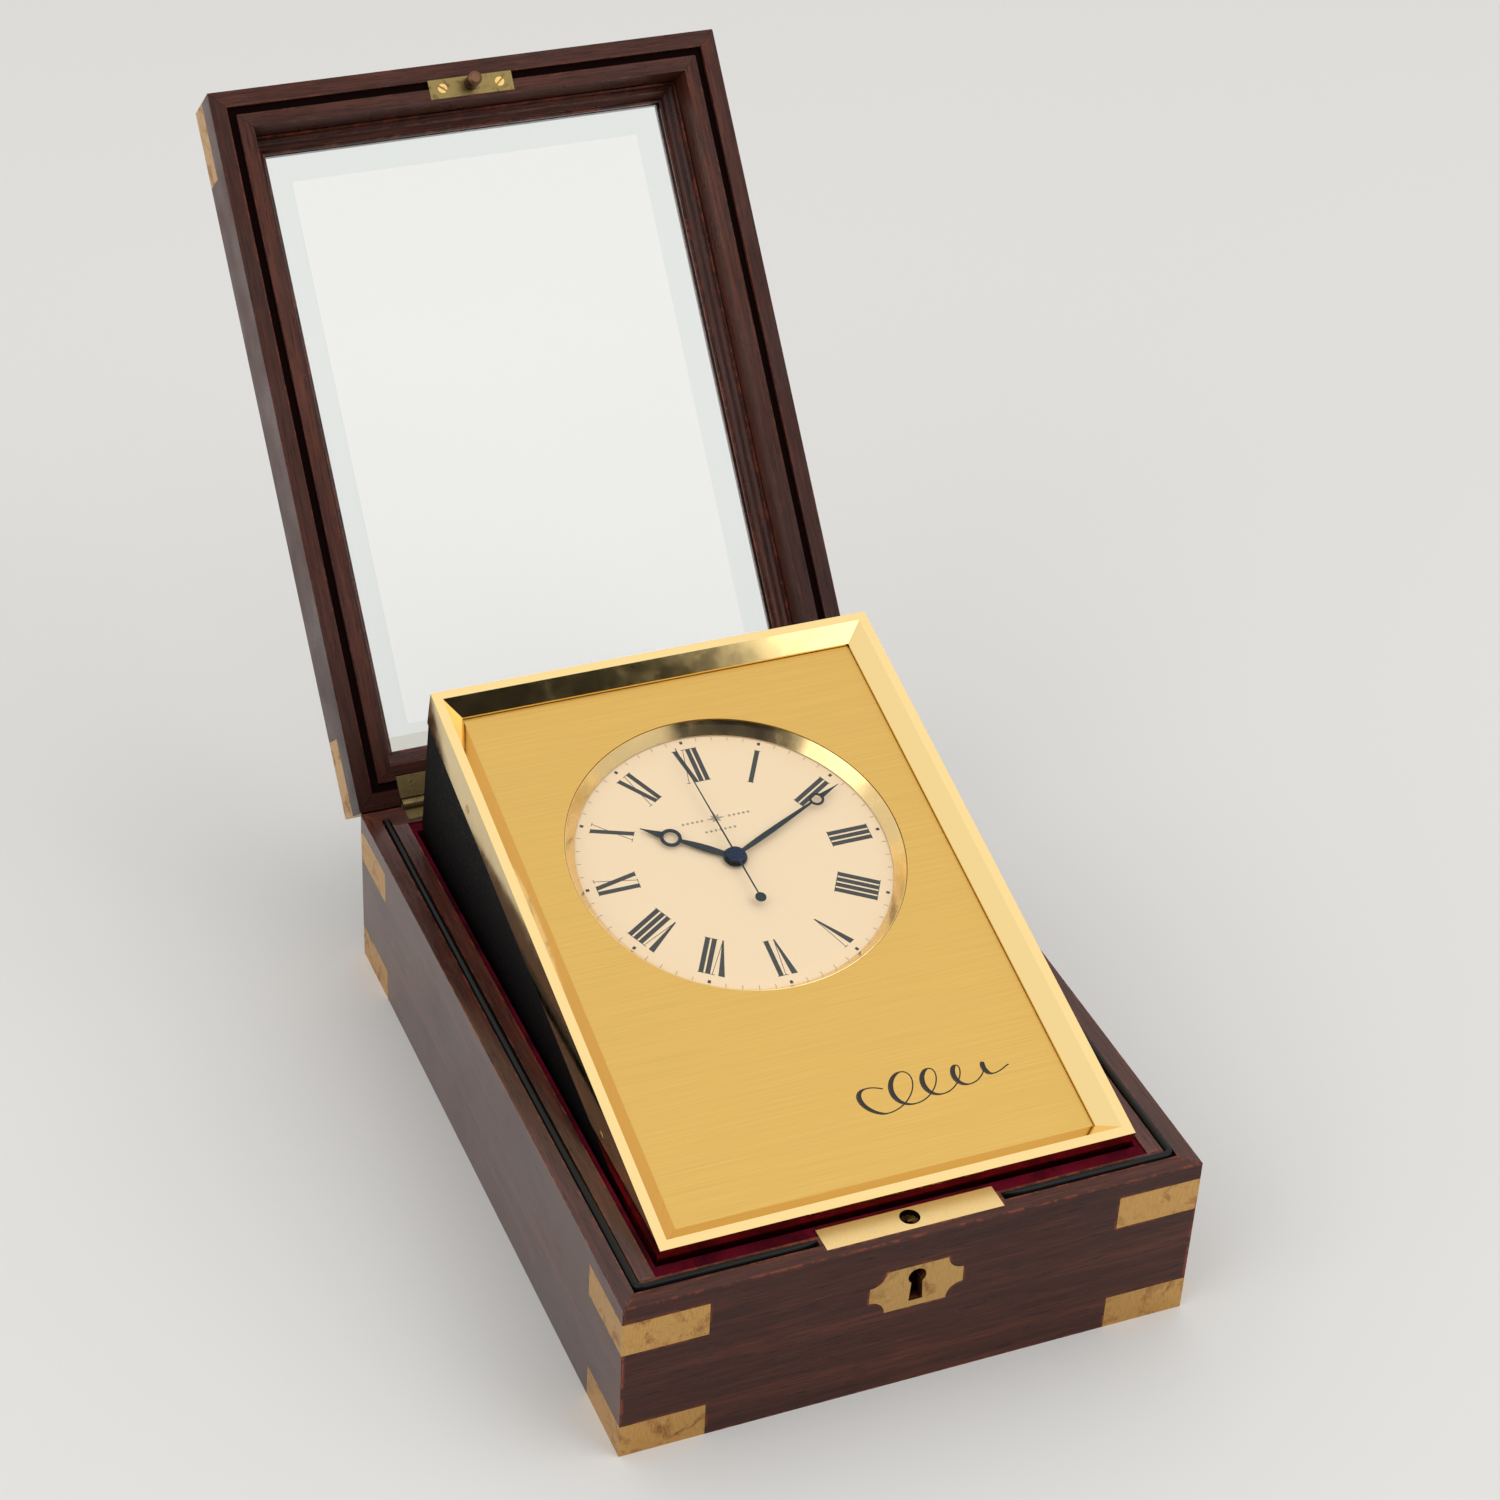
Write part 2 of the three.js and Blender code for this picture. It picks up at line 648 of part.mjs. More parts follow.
function buildCase(clock) {
  const half = CLOCK.w / 2 - 0.3;
  const shoulder = CLOCK.skirt + 0.3;
  const taper = 4.2;
  const chamfer = 5;
  const outline = [
    [up(0.3), down(shoulder)],
    [up(0.3), down(CLOCK.depth - chamfer)],
    [up(0.3 + chamfer), down(CLOCK.depth)],
    [up(CLOCK.l - taper), down(CLOCK.depth)],
    [up(CLOCK.l - 0.3), down(shoulder)],
  ];
  const neck = slab(half - 2.5, 2.8, CLOCK.l - 2.8, PLATE.top + PLATE.t + 0.3, shoulder + 0.01);
  const hollow = slab(half - 4.5, 4.8, CLOCK.l - 8.5, 0, LEDGE);
  const recess = slab(half - 2.5, 8, CLOCK.l - 7, LEDGE - 0.01, CLOCK.depth + 1);
  const shell = cut(join(prismX(outline, -half, half), neck), hollow, recess, rodX(AXLE.hole, -HX, HX, 0, 0));
  piece("case_shell", shell, LEATHER, clock);

  const motion = arborAt(TRAIN.motionAt);
  const lug = (x) =>
    cut(
      box(x - 2, x + 2, up(PROP.up - 4), up(PROP.up + 4), down(55.6), down(COVER.z1 - 0.5)),
      box(x - 3, x + 3, up(PROP.up - 2.1), up(PROP.up + 2.1), down(PROP.down + 2.1), down(PROP.down - 2.1)),
    );
  const cover = join(
    slab(half - 2.8, 8.3, CLOCK.l - 7.3, COVER.z0, COVER.z1),
    lug(-20),
    lug(20),
  );
  const spindleHole = disc(1.6, down(60), down(40), motion.x, up(DIAL_UP) + motion.y, 16);
  piece("back_cover", cover.subtract(spindleHole), BLACK_PLASTIC, clock);
  piece("tilt_axle", rodX(AXLE.r, -HX + 5, HX - 5, AXLE.y, AXLE.z), STEEL);
}

function buildProp(clock) {
  const group = new THREE.Group();
  group.position.set(0, up(PROP.up), down(PROP.down));
  group.rotation.x = rad(PROP.open);
  clock.add(group);
  const edge = PROP.bar / 2;
  const crossBar = box(-PROP.half, PROP.half, -edge, edge, -PROP.t / 2, PROP.t / 2);
  const strut = box(PROP.x0, PROP.x1, -PROP.length - edge, 0, -PROP.t / 2, PROP.t / 2);
  piece("tilt_prop", join(crossBar, strut), STEEL, group);
}

// ---------- dial and hands, drawn about the dial centre with the rim at z = 0 ----------

function buildDial(face) {
  const ring = lathe(
    [
      [RING.rTop, -RING.top],
      [RING.rBottom, -RING.bottom],
      [RING.outer, -RING.bottom],
      [RING.outer, -RING.top],
      [RING.rTop, -RING.top],
    ],
    72,
  );
  piece("dial_ring", ring, GOLD, face);
  piece("dial_crystal", disc(CRYSTAL.r, -CRYSTAL.bottom, -CRYSTAL.top, 0, 0, 72), GLASS, face);
  const dial = cut(disc(DIAL.r, -DIAL.bottom, -DIAL.top, 0, 0, 72), disc(DIAL.hole, -20, 0, 0, 0, 24));
  piece("dial", dial, CREAM, face);
}

// A hand with a swelling stem, a ring and a leaf-shaped tip, pointing along +Y.
function hand({ hub, bore, stem, swell, swellAt, ring, ringHole, ringAt, leaf, tip }, z0, z1) {
  const stemTop = ringAt - ring + 0.3;
  const stemOutline = [
    [stem, 0],
    [swell, swellAt],
    [stem * 0.75, stemTop],
    [-stem * 0.75, stemTop],
    [-swell, swellAt],
    [-stem, 0],
  ];
  const leafStart = ringAt + ring - 0.3;
  const leafOutline = [
    [leaf, leafStart],
    [leaf * 0.6, leafStart + (tip - leafStart) * 0.45],
    [0.12, tip],
    [-0.12, tip],
    [-leaf * 0.6, leafStart + (tip - leafStart) * 0.45],
    [-leaf, leafStart],
  ];
  const body = join(
    disc(hub, z0, z1, 0, 0, 28),
    prism(stemOutline, z0, z1),
    disc(ring, z0, z1, 0, ringAt, 24),
    prism(leafOutline, z0, z1),
  );
  return cut(body, disc(ringHole, z0 - 1, z1 + 1, 0, ringAt, 24), disc(bore, z0 - 1, z1 + 1, 0, 0, 16));
}

function buildHands(face) {
  const hour = {
    ...{ hub: 3.4, bore: 2.35, stem: 0.75, swell: 1.15, swellAt: 10 },
    ...{ ring: 2.9, ringHole: 1.9, ringAt: 19, leaf: 1.25, tip: 28.2 },
  };
  const minute = {
    ...{ hub: 2.9, bore: 1.6, stem: 0.7, swell: 1.05, swellAt: 14 },
    ...{ ring: 1.95, ringHole: 1.25, ringAt: 33.1, leaf: 0.8, tip: 42 },
  };
  const minuteAngle = TIME.minute * 6;
  const hourAngle = TIME.hour * 30 + TIME.minute / 2;
  piece("hour_hand", hand(hour, -8.4, -8.05), BLUED, face).rotation.z = -rad(hourAngle);
  piece("minute_hand", hand(minute, -7.7, -7.4), BLUED, face).rotation.z = -rad(minuteAngle);

  const needle = [
    [0.28, -15],
    [0.32, 0],
    [0.16, 42.4],
    [-0.16, 42.4],
    [-0.32, 0],
    [-0.28, -15],
  ];
  const secondHand = cut(
    join(prism(needle, -7.05, -6.8), disc(1.65, -7.05, -6.8, 0, -16.2, 20), disc(2.4, -7.25, -6.6, 0, 0, 28)),
    disc(ARBOR + 0.15, -8, -6.85, 0, 0, 12),
  );
  piece("second_hand", secondHand, BLUED, face).rotation.z = -rad(TIME.second * 6);
}

// ---------- gear train ----------

function arborAt({ angle, distance }) {
  return { x: distance * Math.cos(rad(angle)), y: distance * Math.sin(rad(angle)) };
}

// Toothed disc centred on the Z axis, with the middle of tooth 0 at the given angle.
function gear(teeth, module, z0, z1, phase = 0) {
  const pitch = (2 * Math.PI) / teeth;
  const root = (teeth * module) / 2 - 1.15 * module;
  const tip = (teeth * module) / 2 + 0.8 * module;
  const points = [];
  for (let i = 0; i < teeth; i++) {
    const middle = phase + i * pitch;
    for (const [r, part] of [
      [root, -0.27],
      [tip, -0.085],
      [tip, 0.085],
      [root, 0.27],
    ]) {
      const a = middle + part * pitch;
      points.push([r * Math.cos(a), r * Math.sin(a)]);
    }
  }
  return prism(points, z0, z1);
}

// Phase of a gear so that one of its gaps faces a tooth of the gear it meshes with.
// direction is the angle from the first gear's centre to the second's.
function meshPhase(teethA, phaseA, direction, teethB) {
  const facing = direction + Math.PI;
  return facing - (Math.PI - teethA * (direction - phaseA)) / teethB;
}

function buildTrain(face) {
  const place = (group, spot) => {
    const { x, y } = arborAt(spot);
    group.position.set(x, y, 0);
    face.add(group);
    return group;
  };
  const motionGroup = place(new THREE.Group(), TRAIN.motionAt);
  const thirdGroup = place(new THREE.Group(), TRAIN.thirdAt);
  const rotorGroup = place(new THREE.Group(), TRAIN.rotorAt);
  const toMotion = rad(TRAIN.motionAt.angle);
  const toThird = rad(TRAIN.thirdAt.angle);
  const toRotor = rad(TRAIN.rotorAt.angle);
  const arbor = (z0, z1) => disc(ARBOR, z0, z1, 0, 0, 12);
  const motionModule = TRAIN.motionAt.distance / 24;
  const hourModule = TRAIN.motionAt.distance / 25;
  const thirdModule = TRAIN.thirdAt.distance / 34;
  const centreModule = TRAIN.thirdAt.distance / 36;
  const rotorModule = TRAIN.rotorAt.distance / 24;

  const secondsWheel = join(
    arbor(-31.4, -6.95),
    gear(8, thirdModule, -20.6, -18.4),
    gear(40, rotorModule, -23, -22.2),
  );
  piece("seconds_wheel", secondsWheel, BRASS, face);

  const rotorPhase = meshPhase(40, 0, toRotor, 8);
  const rotor = join(
    arbor(-31.4, -13.5),
    gear(8, rotorModule, -23.6, -21.6, rotorPhase),
    disc(4, -28, -25, 0, 0, 24),
  );
  piece("rotor", rotor, STEEL, rotorGroup);

  const thirdWheel = join(
    arbor(-31.4, -13.5),
    gear(60, thirdModule, -19.9, -19.2, meshPhase(8, 0, toThird, 60)),
    gear(8, centreModule, -17.3, -15.4),
  );
  piece("third_wheel", thirdWheel, BRASS, thirdGroup);

  const centreWheel = cut(
    join(
      disc(1.5, -17, -7.45, 0, 0, 16),
      gear(12, motionModule, -12.8, -12),
      gear(64, centreModule, -16.7, -16, meshPhase(8, 0, toThird + Math.PI, 64)),
    ),
    disc(0.9, -20, 0, 0, 0, 16),
  );
  piece("centre_wheel", centreWheel, BRASS, face);

  const motionWheel = join(
    disc(1, -52, -10.4, 0, 0, 12),
    gear(36, motionModule, -12.8, -12, meshPhase(12, 0, toMotion, 36)),
    gear(10, hourModule, -12.1, -10.6),
  );
  piece("motion_wheel", motionWheel, BRASS, motionGroup);
  const knob = cut(gear(30, 0.42, -54.2, -49.8), disc(1.15, -52.1, -40, 0, 0, 12));
  piece("setting_knob", knob, BLACK_PLASTIC, motionGroup);

  const hourWheel = cut(
    join(disc(2.25, -11, -7.95, 0, 0, 20), gear(40, hourModule, -11.4, -10.6, meshPhase(10, 0, toMotion + Math.PI, 40))),
    disc(1.75, -20, 0, 0, 0, 20),
  );
  piece("hour_wheel", hourWheel, BRASS, face);
}

// ---------- movement plates and electrics ----------

function buildMovement(face) {
  const { front, frontT, back, backT, half, pillar } = PLATES;
  const motion = arborAt(TRAIN.motionAt);
  const through = (r, { x, y }) => disc(r, -60, 0, x, y, 16);
  const pivots = [TRAIN.thirdAt, TRAIN.rotorAt].map((spot) => through(0.85, arborAt(spot)));
  let plate = box(-half, half, -half, half, -front - frontT, -front);
  for (const sx of [-1, 1]) {
    for (const sy of [-1, 1]) plate = plate.add(disc(2.2, -back + 0.3, -front, sx * pillar, sy * pillar, 12));
  }
  piece("movement_plate", cut(plate, through(1.9, { x: 0, y: 0 }), through(1.3, motion), ...pivots), BRASS, face);

  const bridge = box(-half + 2, half - 2, -half + 2, half - 2, -back - backT, -back);
  piece(
    "train_bridge",
    cut(bridge, through(0.85, { x: 0, y: 0 }), through(1.3, motion), ...pivots),
    BRASS,
    face,
  );

  const coil = join(
    rodX(3.2, -13, 13, 22, -26.4, 20),
    box(-17, 17, 20.5, 23.5, -27.4, -25.4),
    rodX(4, -14, -13, 22, -26.4, 20),
    rodX(4, 13, 14, 22, -26.4, 20),
  );
  piece("coil", coil, COPPER, face);

  const board = cut(
    join(
      box(-27, 27, -27, 27, -35.6, -34),
      box(-20, -9, 6, 10.5, -39, -35.5),
      box(6, 14, -4, 4, -37, -35.5),
      disc(3, -38, -35.5, -14, -12, 16),
    ),
    through(1.6, motion),
  );
  piece("circuit_board", board, BOARD, face);
}

function buildBattery(clock) {
  piece("battery", rodX(13, -25, 25, up(36), down(32), 32), STEEL, clock);
}

// ---------- assembly ----------

function buildClock() {
  const clock = new THREE.Group();
  clock.position.set(0, AXLE.y, AXLE.z);
  clock.rotation.x = rad(TILT);
  root.add(clock);
  const face = new THREE.Group();
  face.position.set(0, up(DIAL_UP), down(0));
  clock.add(face);
  buildBezel(clock);
  buildCase(clock);
  buildProp(clock);
  buildBattery(clock);
  buildDial(face);
  buildHands(face);
  buildTrain(face);
  buildMovement(face);
}

buildWalls();
buildFloorAndLining();
buildSeals();
buildBaseStraps();
buildLock();
buildHinges(buildLid());
buildClock();

export default root;
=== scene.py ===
"""Looks of a boxed marine chronometer: a quartz clock in a brass-bound box with a glazed lid.

Metres, +Z up, keyhole towards -Y. Sizes written here are millimetres times MM.
"""

import json
import math

import bmesh
import bpy
from mathutils import Matrix, Vector


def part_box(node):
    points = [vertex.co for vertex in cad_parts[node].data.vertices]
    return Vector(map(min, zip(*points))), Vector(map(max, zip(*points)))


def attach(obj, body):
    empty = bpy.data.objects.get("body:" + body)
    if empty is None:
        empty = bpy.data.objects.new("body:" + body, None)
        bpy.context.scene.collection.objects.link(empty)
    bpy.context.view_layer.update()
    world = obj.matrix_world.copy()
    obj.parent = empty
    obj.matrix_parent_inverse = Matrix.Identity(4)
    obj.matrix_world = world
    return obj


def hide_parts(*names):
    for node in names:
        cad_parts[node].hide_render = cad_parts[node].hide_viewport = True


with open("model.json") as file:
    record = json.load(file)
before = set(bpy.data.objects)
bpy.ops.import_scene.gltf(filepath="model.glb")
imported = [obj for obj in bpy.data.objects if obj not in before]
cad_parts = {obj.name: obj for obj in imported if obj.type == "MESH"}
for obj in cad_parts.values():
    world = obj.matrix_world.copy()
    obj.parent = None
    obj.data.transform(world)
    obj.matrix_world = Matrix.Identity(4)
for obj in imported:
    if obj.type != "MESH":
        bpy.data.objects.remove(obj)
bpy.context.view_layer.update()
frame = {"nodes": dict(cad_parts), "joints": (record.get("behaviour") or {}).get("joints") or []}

MM = 0.001
JOINTS = {joint["name"]: joint for joint in frame["joints"]}
NODES = frame["nodes"]


def hinge_space(joint, degrees):
    """The frame of a hinged body as it is drawn shut, placed where the body is at rest."""
    return Matrix.Translation(joint["pos_m"]) @ Matrix.Rotation(math.radians(degrees), 4, "X")


ROW = Matrix.Identity(4)
LID = hinge_space(JOINTS["lid_hinge"], -JOINTS["lid_hinge"]["range_deg"][1])
CLOCK = hinge_space(JOINTS["clock_tilt"], -JOINTS["clock_tilt"]["range_deg"][0])


def local_box(node, space):
    """Lowest and highest corner of a node in a tilted frame."""
    back = space.inverted()
    corners = [back @ v.co for v in NODES[node].data.vertices]
    low = Vector(min(c[i] for c in corners) for i in range(3))
    high = Vector(max(c[i] for c in corners) for i in range(3))
    return low, high


DIAL_LOW, DIAL_HIGH = local_box("dial", CLOCK)
# The dial's own frame: origin on its face, Y towards XII.
DIAL = CLOCK @ Matrix.Translation(
    ((DIAL_LOW.x + DIAL_HIGH.x) / 2, (DIAL_LOW.y + DIAL_HIGH.y) / 2, DIAL_HIGH.z)
)
TIME = {"hour": 10, "minute": 11, "second": 59.2}

# ---------------------------------------------------------------- node trees


def tone(red, green, blue):
    """A colour given as display values from 0 to 255, as linear light."""
    linear = []
    for channel in (red, green, blue):
        c = channel / 255
        linear.append(c / 12.92 if c <= 0.04045 else ((c + 0.055) / 1.055) ** 2.4)
    return (*linear, 1)


class Tree:
    """A material's node tree, with one method for each kind of step used here."""

    def __init__(self, name):
        self.material = bpy.data.materials.new(name)
        self.material.use_nodes = True
        self.tree = self.material.node_tree
        self.tree.nodes.clear()

    def node(self, kind, inputs=(), **settings):
        made = self.tree.nodes.new("ShaderNode" + kind)
        for key, value in settings.items():
            setattr(made, key, value)
        for key, value in dict(inputs).items():
            if isinstance(value, bpy.types.NodeSocket):
                self.tree.links.new(value, made.inputs[key])
            else:
                made.inputs[key].default_value = value
        return made

    def place(self, space=ROW, shift=(0, 0, 0)):
        """Position in the given frame, so that grain follows a tilted part."""
        turn = space.inverted().to_3x3().to_euler()
        at = self.node("TexCoord").outputs["Object"]
        return self.node("Mapping", {"Vector": at, "Rotation": turn, "Location": shift}).outputs[0]

    def stretched(self, vector, scale):
        return self.node("Mapping", {"Vector": vector, "Scale": scale}).outputs[0]

    def noise(self, vector, scale, detail=3.0, roughness=0.5, distortion=0.0):
        inputs = {
            "Vector": vector,
            "Scale": scale,
            "Detail": detail,
            "Roughness": roughness,
            "Distortion": distortion,
        }
        return self.node("TexNoise", inputs).outputs["Fac"]

    def ramp(self, factor, *stops):
        made = self.node("ValToRGB", {"Fac": factor})
        elements = made.color_ramp.elements
        while len(elements) < len(stops):
            elements.new(0.5)
        for element, (position, color) in zip(elements, stops):
            element.position = position
            element.color = color
        return made.outputs["Color"]

    def span(self, value, low, high, to_low=0.0, to_high=1.0):
        inputs = {"Value": value, "From Min": low, "From Max": high}
        inputs |= {"To Min": to_low, "To Max": to_high}
        return self.node("MapRange", inputs).outputs["Result"]

    def math(self, operation, a, b=0.5):
        made = self.node("Math", operation=operation)
        for socket, value in zip(made.inputs, (a, b)):
            if isinstance(value, bpy.types.NodeSocket):
                self.tree.links.new(value, socket)
            else:
                socket.default_value = value
        return made.outputs[0]

    def mix(self, factor, a, b, blend="MIX"):
        made = self.node("Mix", data_type="RGBA", blend_type=blend)
        for index, value in ((0, factor), (6, a), (7, b)):
            if isinstance(value, bpy.types.NodeSocket):
                self.tree.links.new(value, made.inputs[index])
            else:
                made.inputs[index].default_value = value
        return made.outputs[2]

    def bump(self, height, distance, strength=1.0, normal=None):
        inputs = {"Height": height, "Distance": distance, "Strength": strength}
        if normal is not None:
            inputs["Normal"] = normal
        return self.node("Bump", inputs).outputs["Normal"]

    def arris(self, radius, low=0.02, high=0.3):
        """1 on sharp outer and inner edges, 0 on flat ground."""
        rounded = self.node("Bevel", {"Radius": radius}, samples=4).outputs["Normal"]
        flat = self.node("NewGeometry").outputs["Normal"]
        same = self.node("VectorMath", {0: rounded, 1: flat}, operation="DOT_PRODUCT")
        return self.span(self.math("SUBTRACT", 1.0, same.outputs["Value"]), low, high)

    def grey(self, value):
        return self.node("CombineColor", {"Red": value, "Green": value, "Blue": value}).outputs[0]

    def principled(self, **inputs):
        named = {key.replace("_", " "): value for key, value in inputs.items()}
        shader = self.node("BsdfPrincipled", named)
        return self.finish(shader.outputs[0])

    def finish(self, surface):
        self.node("OutputMaterial", {"Surface": surface})
        return self.material


# ---------------------------------------------------------------- materials

GRAIN_AXES = {"X": (0.045, 1.0, 1.0), "Y": (1.0, 0.045, 1.0), "Z": (1.0, 1.0, 0.045)}


def axle_in(space):
    """The hinge axle as Tree.place gives points: turned as the space is, about the row's origin."""
    return space.inverted().to_3x3() @ LID.translation


def mahogany(name, axis, space=ROW, seed=0.0, ior=1.28, rough=(0.24, 0.4), wear=0.75, dusk=0.0):
    """French-polished mahogany with its grain along one axis, dark pores and rubbed red arrises.

    wear is how much red shows through on the edges; the last argument is how much painted shade
    darkens the wood towards the hinge.
    """
    t = Tree(name)
    at = t.place(space, (seed, seed * 0.7, seed * 0.3))
    along = t.stretched(at, GRAIN_AXES[axis])
    figure = t.noise(along, 170, 4, 0.6, 0.4)
    streaks = t.noise(along, 1100, 5, 0.7, 0.2)
    pores = t.noise(along, 2600, 2, 0.7)
    stripes = t.math("ADD", t.math("MULTIPLY", figure, 0.45), t.math("MULTIPLY", streaks, 0.55))
    color = t.ramp(
        stripes,
        (0.34, tone(48, 24, 20)),
        (0.5, tone(70, 36, 27)),
        (0.66, tone(98, 52, 37)),
    )
    dark = t.span(pores, 0.56, 0.68, 0.0, 0.75)
    color = t.mix(dark, color, tone(26, 14, 12))
    chips = t.span(t.noise(at, 210, 5, 0.75), 0.6 - wear * 0.13, 0.62 - wear * 0.07)
    worn = t.math("MULTIPLY", t.arris(1.3 * MM, 0.015, 0.12), chips)
    color = t.mix(t.math("MULTIPLY", worn, wear), color, tone(140, 66, 42))
    # Painted shade: the wood turns darker towards the hinge axle.
    if dusk:
        along_lid = t.node("SeparateXYZ", {0: t.place(space)}).outputs["Y"]
        hinge = axle_in(space).y
        color = t.mix(t.span(along_lid, hinge - 70 * MM, hinge, 0.0, dusk), color, tone(24, 9, 9))
    height = t.math("SUBTRACT", t.math("MULTIPLY", streaks, 0.35), dark)
    roughness = t.span(t.noise(at, 45, 3), 0.35, 0.65, *rough)
    return t.principled(
        Base_Color=color,
        Roughness=roughness,
        IOR=ior,
        Normal=t.bump(height, 0.05 * MM, 0.5),
    )


def aged_brass(name, clean, stained, amount, roughness, space=ROW, scale=90, low_part=None):
    """Hand-finished brass with reddish stains and fine rubbing marks.

    low_part is a height over the hinge axle and a colour for what lies under it.
    """
    t = Tree(name)
    at = t.place(space)
    blotch = t.noise(at, scale, 5, 0.7, 0.8)
    rubbed = t.noise(t.stretched(at, (1.0, 1.0, 0.12)), 3400, 2)
    stains = t.span(blotch, 0.62 - amount * 0.2, 0.78 - amount * 0.1)
    color = t.mix(t.math("MULTIPLY", stains, 0.85), clean, stained)
    color = t.mix(t.span(rubbed, 0.35, 0.7, 0.0, 0.25), color, stained)
    if low_part:
        height = t.node("SeparateXYZ", {0: at}).outputs["Z"]
        level = low_part[0] + axle_in(space).z
        color = t.mix(t.span(height, level, level - 0.1 * MM), color, low_part[1])
    rough = t.span(stains, 0, 1, roughness, min(0.75, roughness + 0.25))
    height = t.math("ADD", rubbed, t.math("MULTIPLY", blotch, 2.0))
    return t.principled(
        Base_Color=color,
        Metallic=1.0,
        Roughness=rough,
        Normal=t.bump(height, 0.02 * MM, 0.25),
    )


def polished_gold(name, color, roughness, waviness=0.006):
    t = Tree(name)
    at = t.place()
    wide = t.noise(at, 40, 2)
    smudge = t.span(t.noise(at, 160, 4, 0.6), 0.4, 0.7, roughness, roughness * 1.8)
    return t.principled(
        Base_Color=color,
        Metallic=1.0,
        Roughness=smudge,
        Normal=t.bump(wide, waviness * MM, 0.4),
    )


def brushed_gold(name):
    """Gilt plate with fine straight brush lines running across it."""
    t = Tree(name)
    at = t.place(CLOCK)
    fine = t.noise(t.stretched(at, (0.006, 1.0, 1.0)), 5200, 2, 0.6)
    wider = t.noise(t.stretched(at, (0.02, 1.0, 1.0)), 1700, 3, 0.6)
    lines = t.math("ADD", t.math("MULTIPLY", fine, 0.8), t.math("MULTIPLY", wider, 0.2))
    shade = t.span(lines, 0.3, 0.7, 0.9, 1.06)
    return t.principled(
        Base_Color=t.mix(1.0, tone(221, 181, 101), t.grey(shade), "MULTIPLY"),
        Metallic=1.0,
        Roughness=0.4,
        Normal=t.bump(lines, 0.01 * MM, 0.3),
    )


def velvet(name):
    t = Tree(name)
    at = t.place()
    pile = t.noise(at, 4200, 2, 0.8)
    nap = t.noise(at, 60, 4, 0.6, 1.0)
    color = t.mix(t.span(nap, 0.35, 0.65), tone(58, 4, 18), tone(110, 13, 36))
    color = t.mix(t.span(pile, 0.3, 0.7, 0.0, 0.55), color, tone(20, 1, 6))
    return t.principled(
        Base_Color=color,
        Roughness=0.95,
        IOR=1.15,
        Sheen_Weight=0.2,
        Sheen_Roughness=0.4,
        Sheen_Tint=tone(170, 30, 60),
        Normal=t.bump(t.math("ADD", pile, t.math("MULTIPLY", nap, 3.0)), 0.15 * MM, 0.6),
    )


def leathercloth(name):
    """Black book cloth with a pebbled leather grain."""
    t = Tree(name)
    at = t.place(CLOCK)
    pebbles = t.node("TexVoronoi", {"Vector": at, "Scale": 1250.0}).outputs["Distance"]
    creases = t.noise(at, 420, 4, 0.6, 1.2)
    height = t.math("ADD", t.math("SUBTRACT", 1.0, pebbles), creases)
    color = t.mix(t.span(pebbles, 0.1, 0.6), tone(13, 14, 14), tone(5, 5, 5))
    return t.principled(
        Base_Color=color,
        Roughness=t.span(creases, 0.3, 0.7, 0.45, 0.65),
        IOR=1.14,
        Normal=t.bump(height, 0.12 * MM, 0.7),
    )


def painted(name, color, roughness, speckle=0.05, scale=900, bump=0.004, ior=1.45):
    """A plain painted, printed or moulded surface with slight mottling."""
    t = Tree(name)
    mottle = t.noise(t.place(), scale, 3, 0.6)
    shade = t.span(mottle, 0.3, 0.7, 1 - speckle, 1 + speckle)
    return t.principled(
        Base_Color=t.mix(1.0, color, t.grey(shade), "MULTIPLY"),
        Roughness=t.span(mottle, 0.2, 0.8, roughness * 0.85, min(1, roughness * 1.15)),
        IOR=ior,
        Normal=t.bump(mottle, bump * MM, 0.5),
    )


def steel(name, color, roughness):
    t = Tree(name)
    drawn = t.noise(t.stretched(t.place(), (0.1, 1.0, 1.0)), 4200, 2)
    return t.principled(
        Base_Color=t.mix(t.span(drawn, 0.3, 0.7), color, tuple(0.8 * c for c in color[:3]) + (1,)),
        Metallic=1.0,
        Roughness=t.span(drawn, 0.3, 0.7, roughness * 0.8, roughness * 1.25),
        Normal=t.bump(drawn, 0.006 * MM, 0.3),
    )


def clear_glass(name, tint, mirror=1.0):
    """A pane that lets light straight through and mirrors its surroundings at an angle."""
    t = Tree(name)
    through = t.node("BsdfTransparent", {"Color": tint}).outputs[0]
    mirrored = t.node("BsdfGlossy", {"Color": (1, 1, 1, 1), "Roughness": 0.0}).outputs[0]
    facing = t.node("Fresnel", {"IOR": 1.5}).outputs[0]
    outside = t.math("SUBTRACT", 1.0, t.node("NewGeometry").outputs["Backfacing"])
    share = t.math("MULTIPLY", t.math("MULTIPLY", facing, mirror), outside)
    return t.finish(t.node("MixShader", {0: share, 1: through, 2: mirrored}).outputs[0])


STRAP_TONES = (tone(212, 168, 102), tone(126, 68, 42))
BRASS = aged_brass("brass_strap", *STRAP_TONES, 0.55, 0.36, ROW, 150)
LID_BRASS = aged_brass("brass_lid_strap", *STRAP_TONES, 0.55, 0.36, LID, 150)
LOCK_BRASS = aged_brass("brass_lock", tone(250, 220, 156), tone(206, 168, 108), 0.15, 0.42)
ESCUTCHEON_BRASS = aged_brass(
    "brass_escutcheon", tone(208, 168, 104), tone(142, 92, 54), 0.35, 0.36
)
HINGE_BRASS = aged_brass("brass_hinge", tone(138, 120, 80), tone(76, 60, 40), 0.6, 0.42, ROW, 260)
STUD_TONE = (0.1 * MM, tone(112, 82, 62))
STRIKE_BRASS = aged_brass(
    "brass_strike", tone(138, 120, 76), tone(90, 72, 44), 0.5, 0.42, LID, 300, STUD_TONE
)
GOLD = polished_gold("gold_polished", tone(248, 218, 152), 0.06)
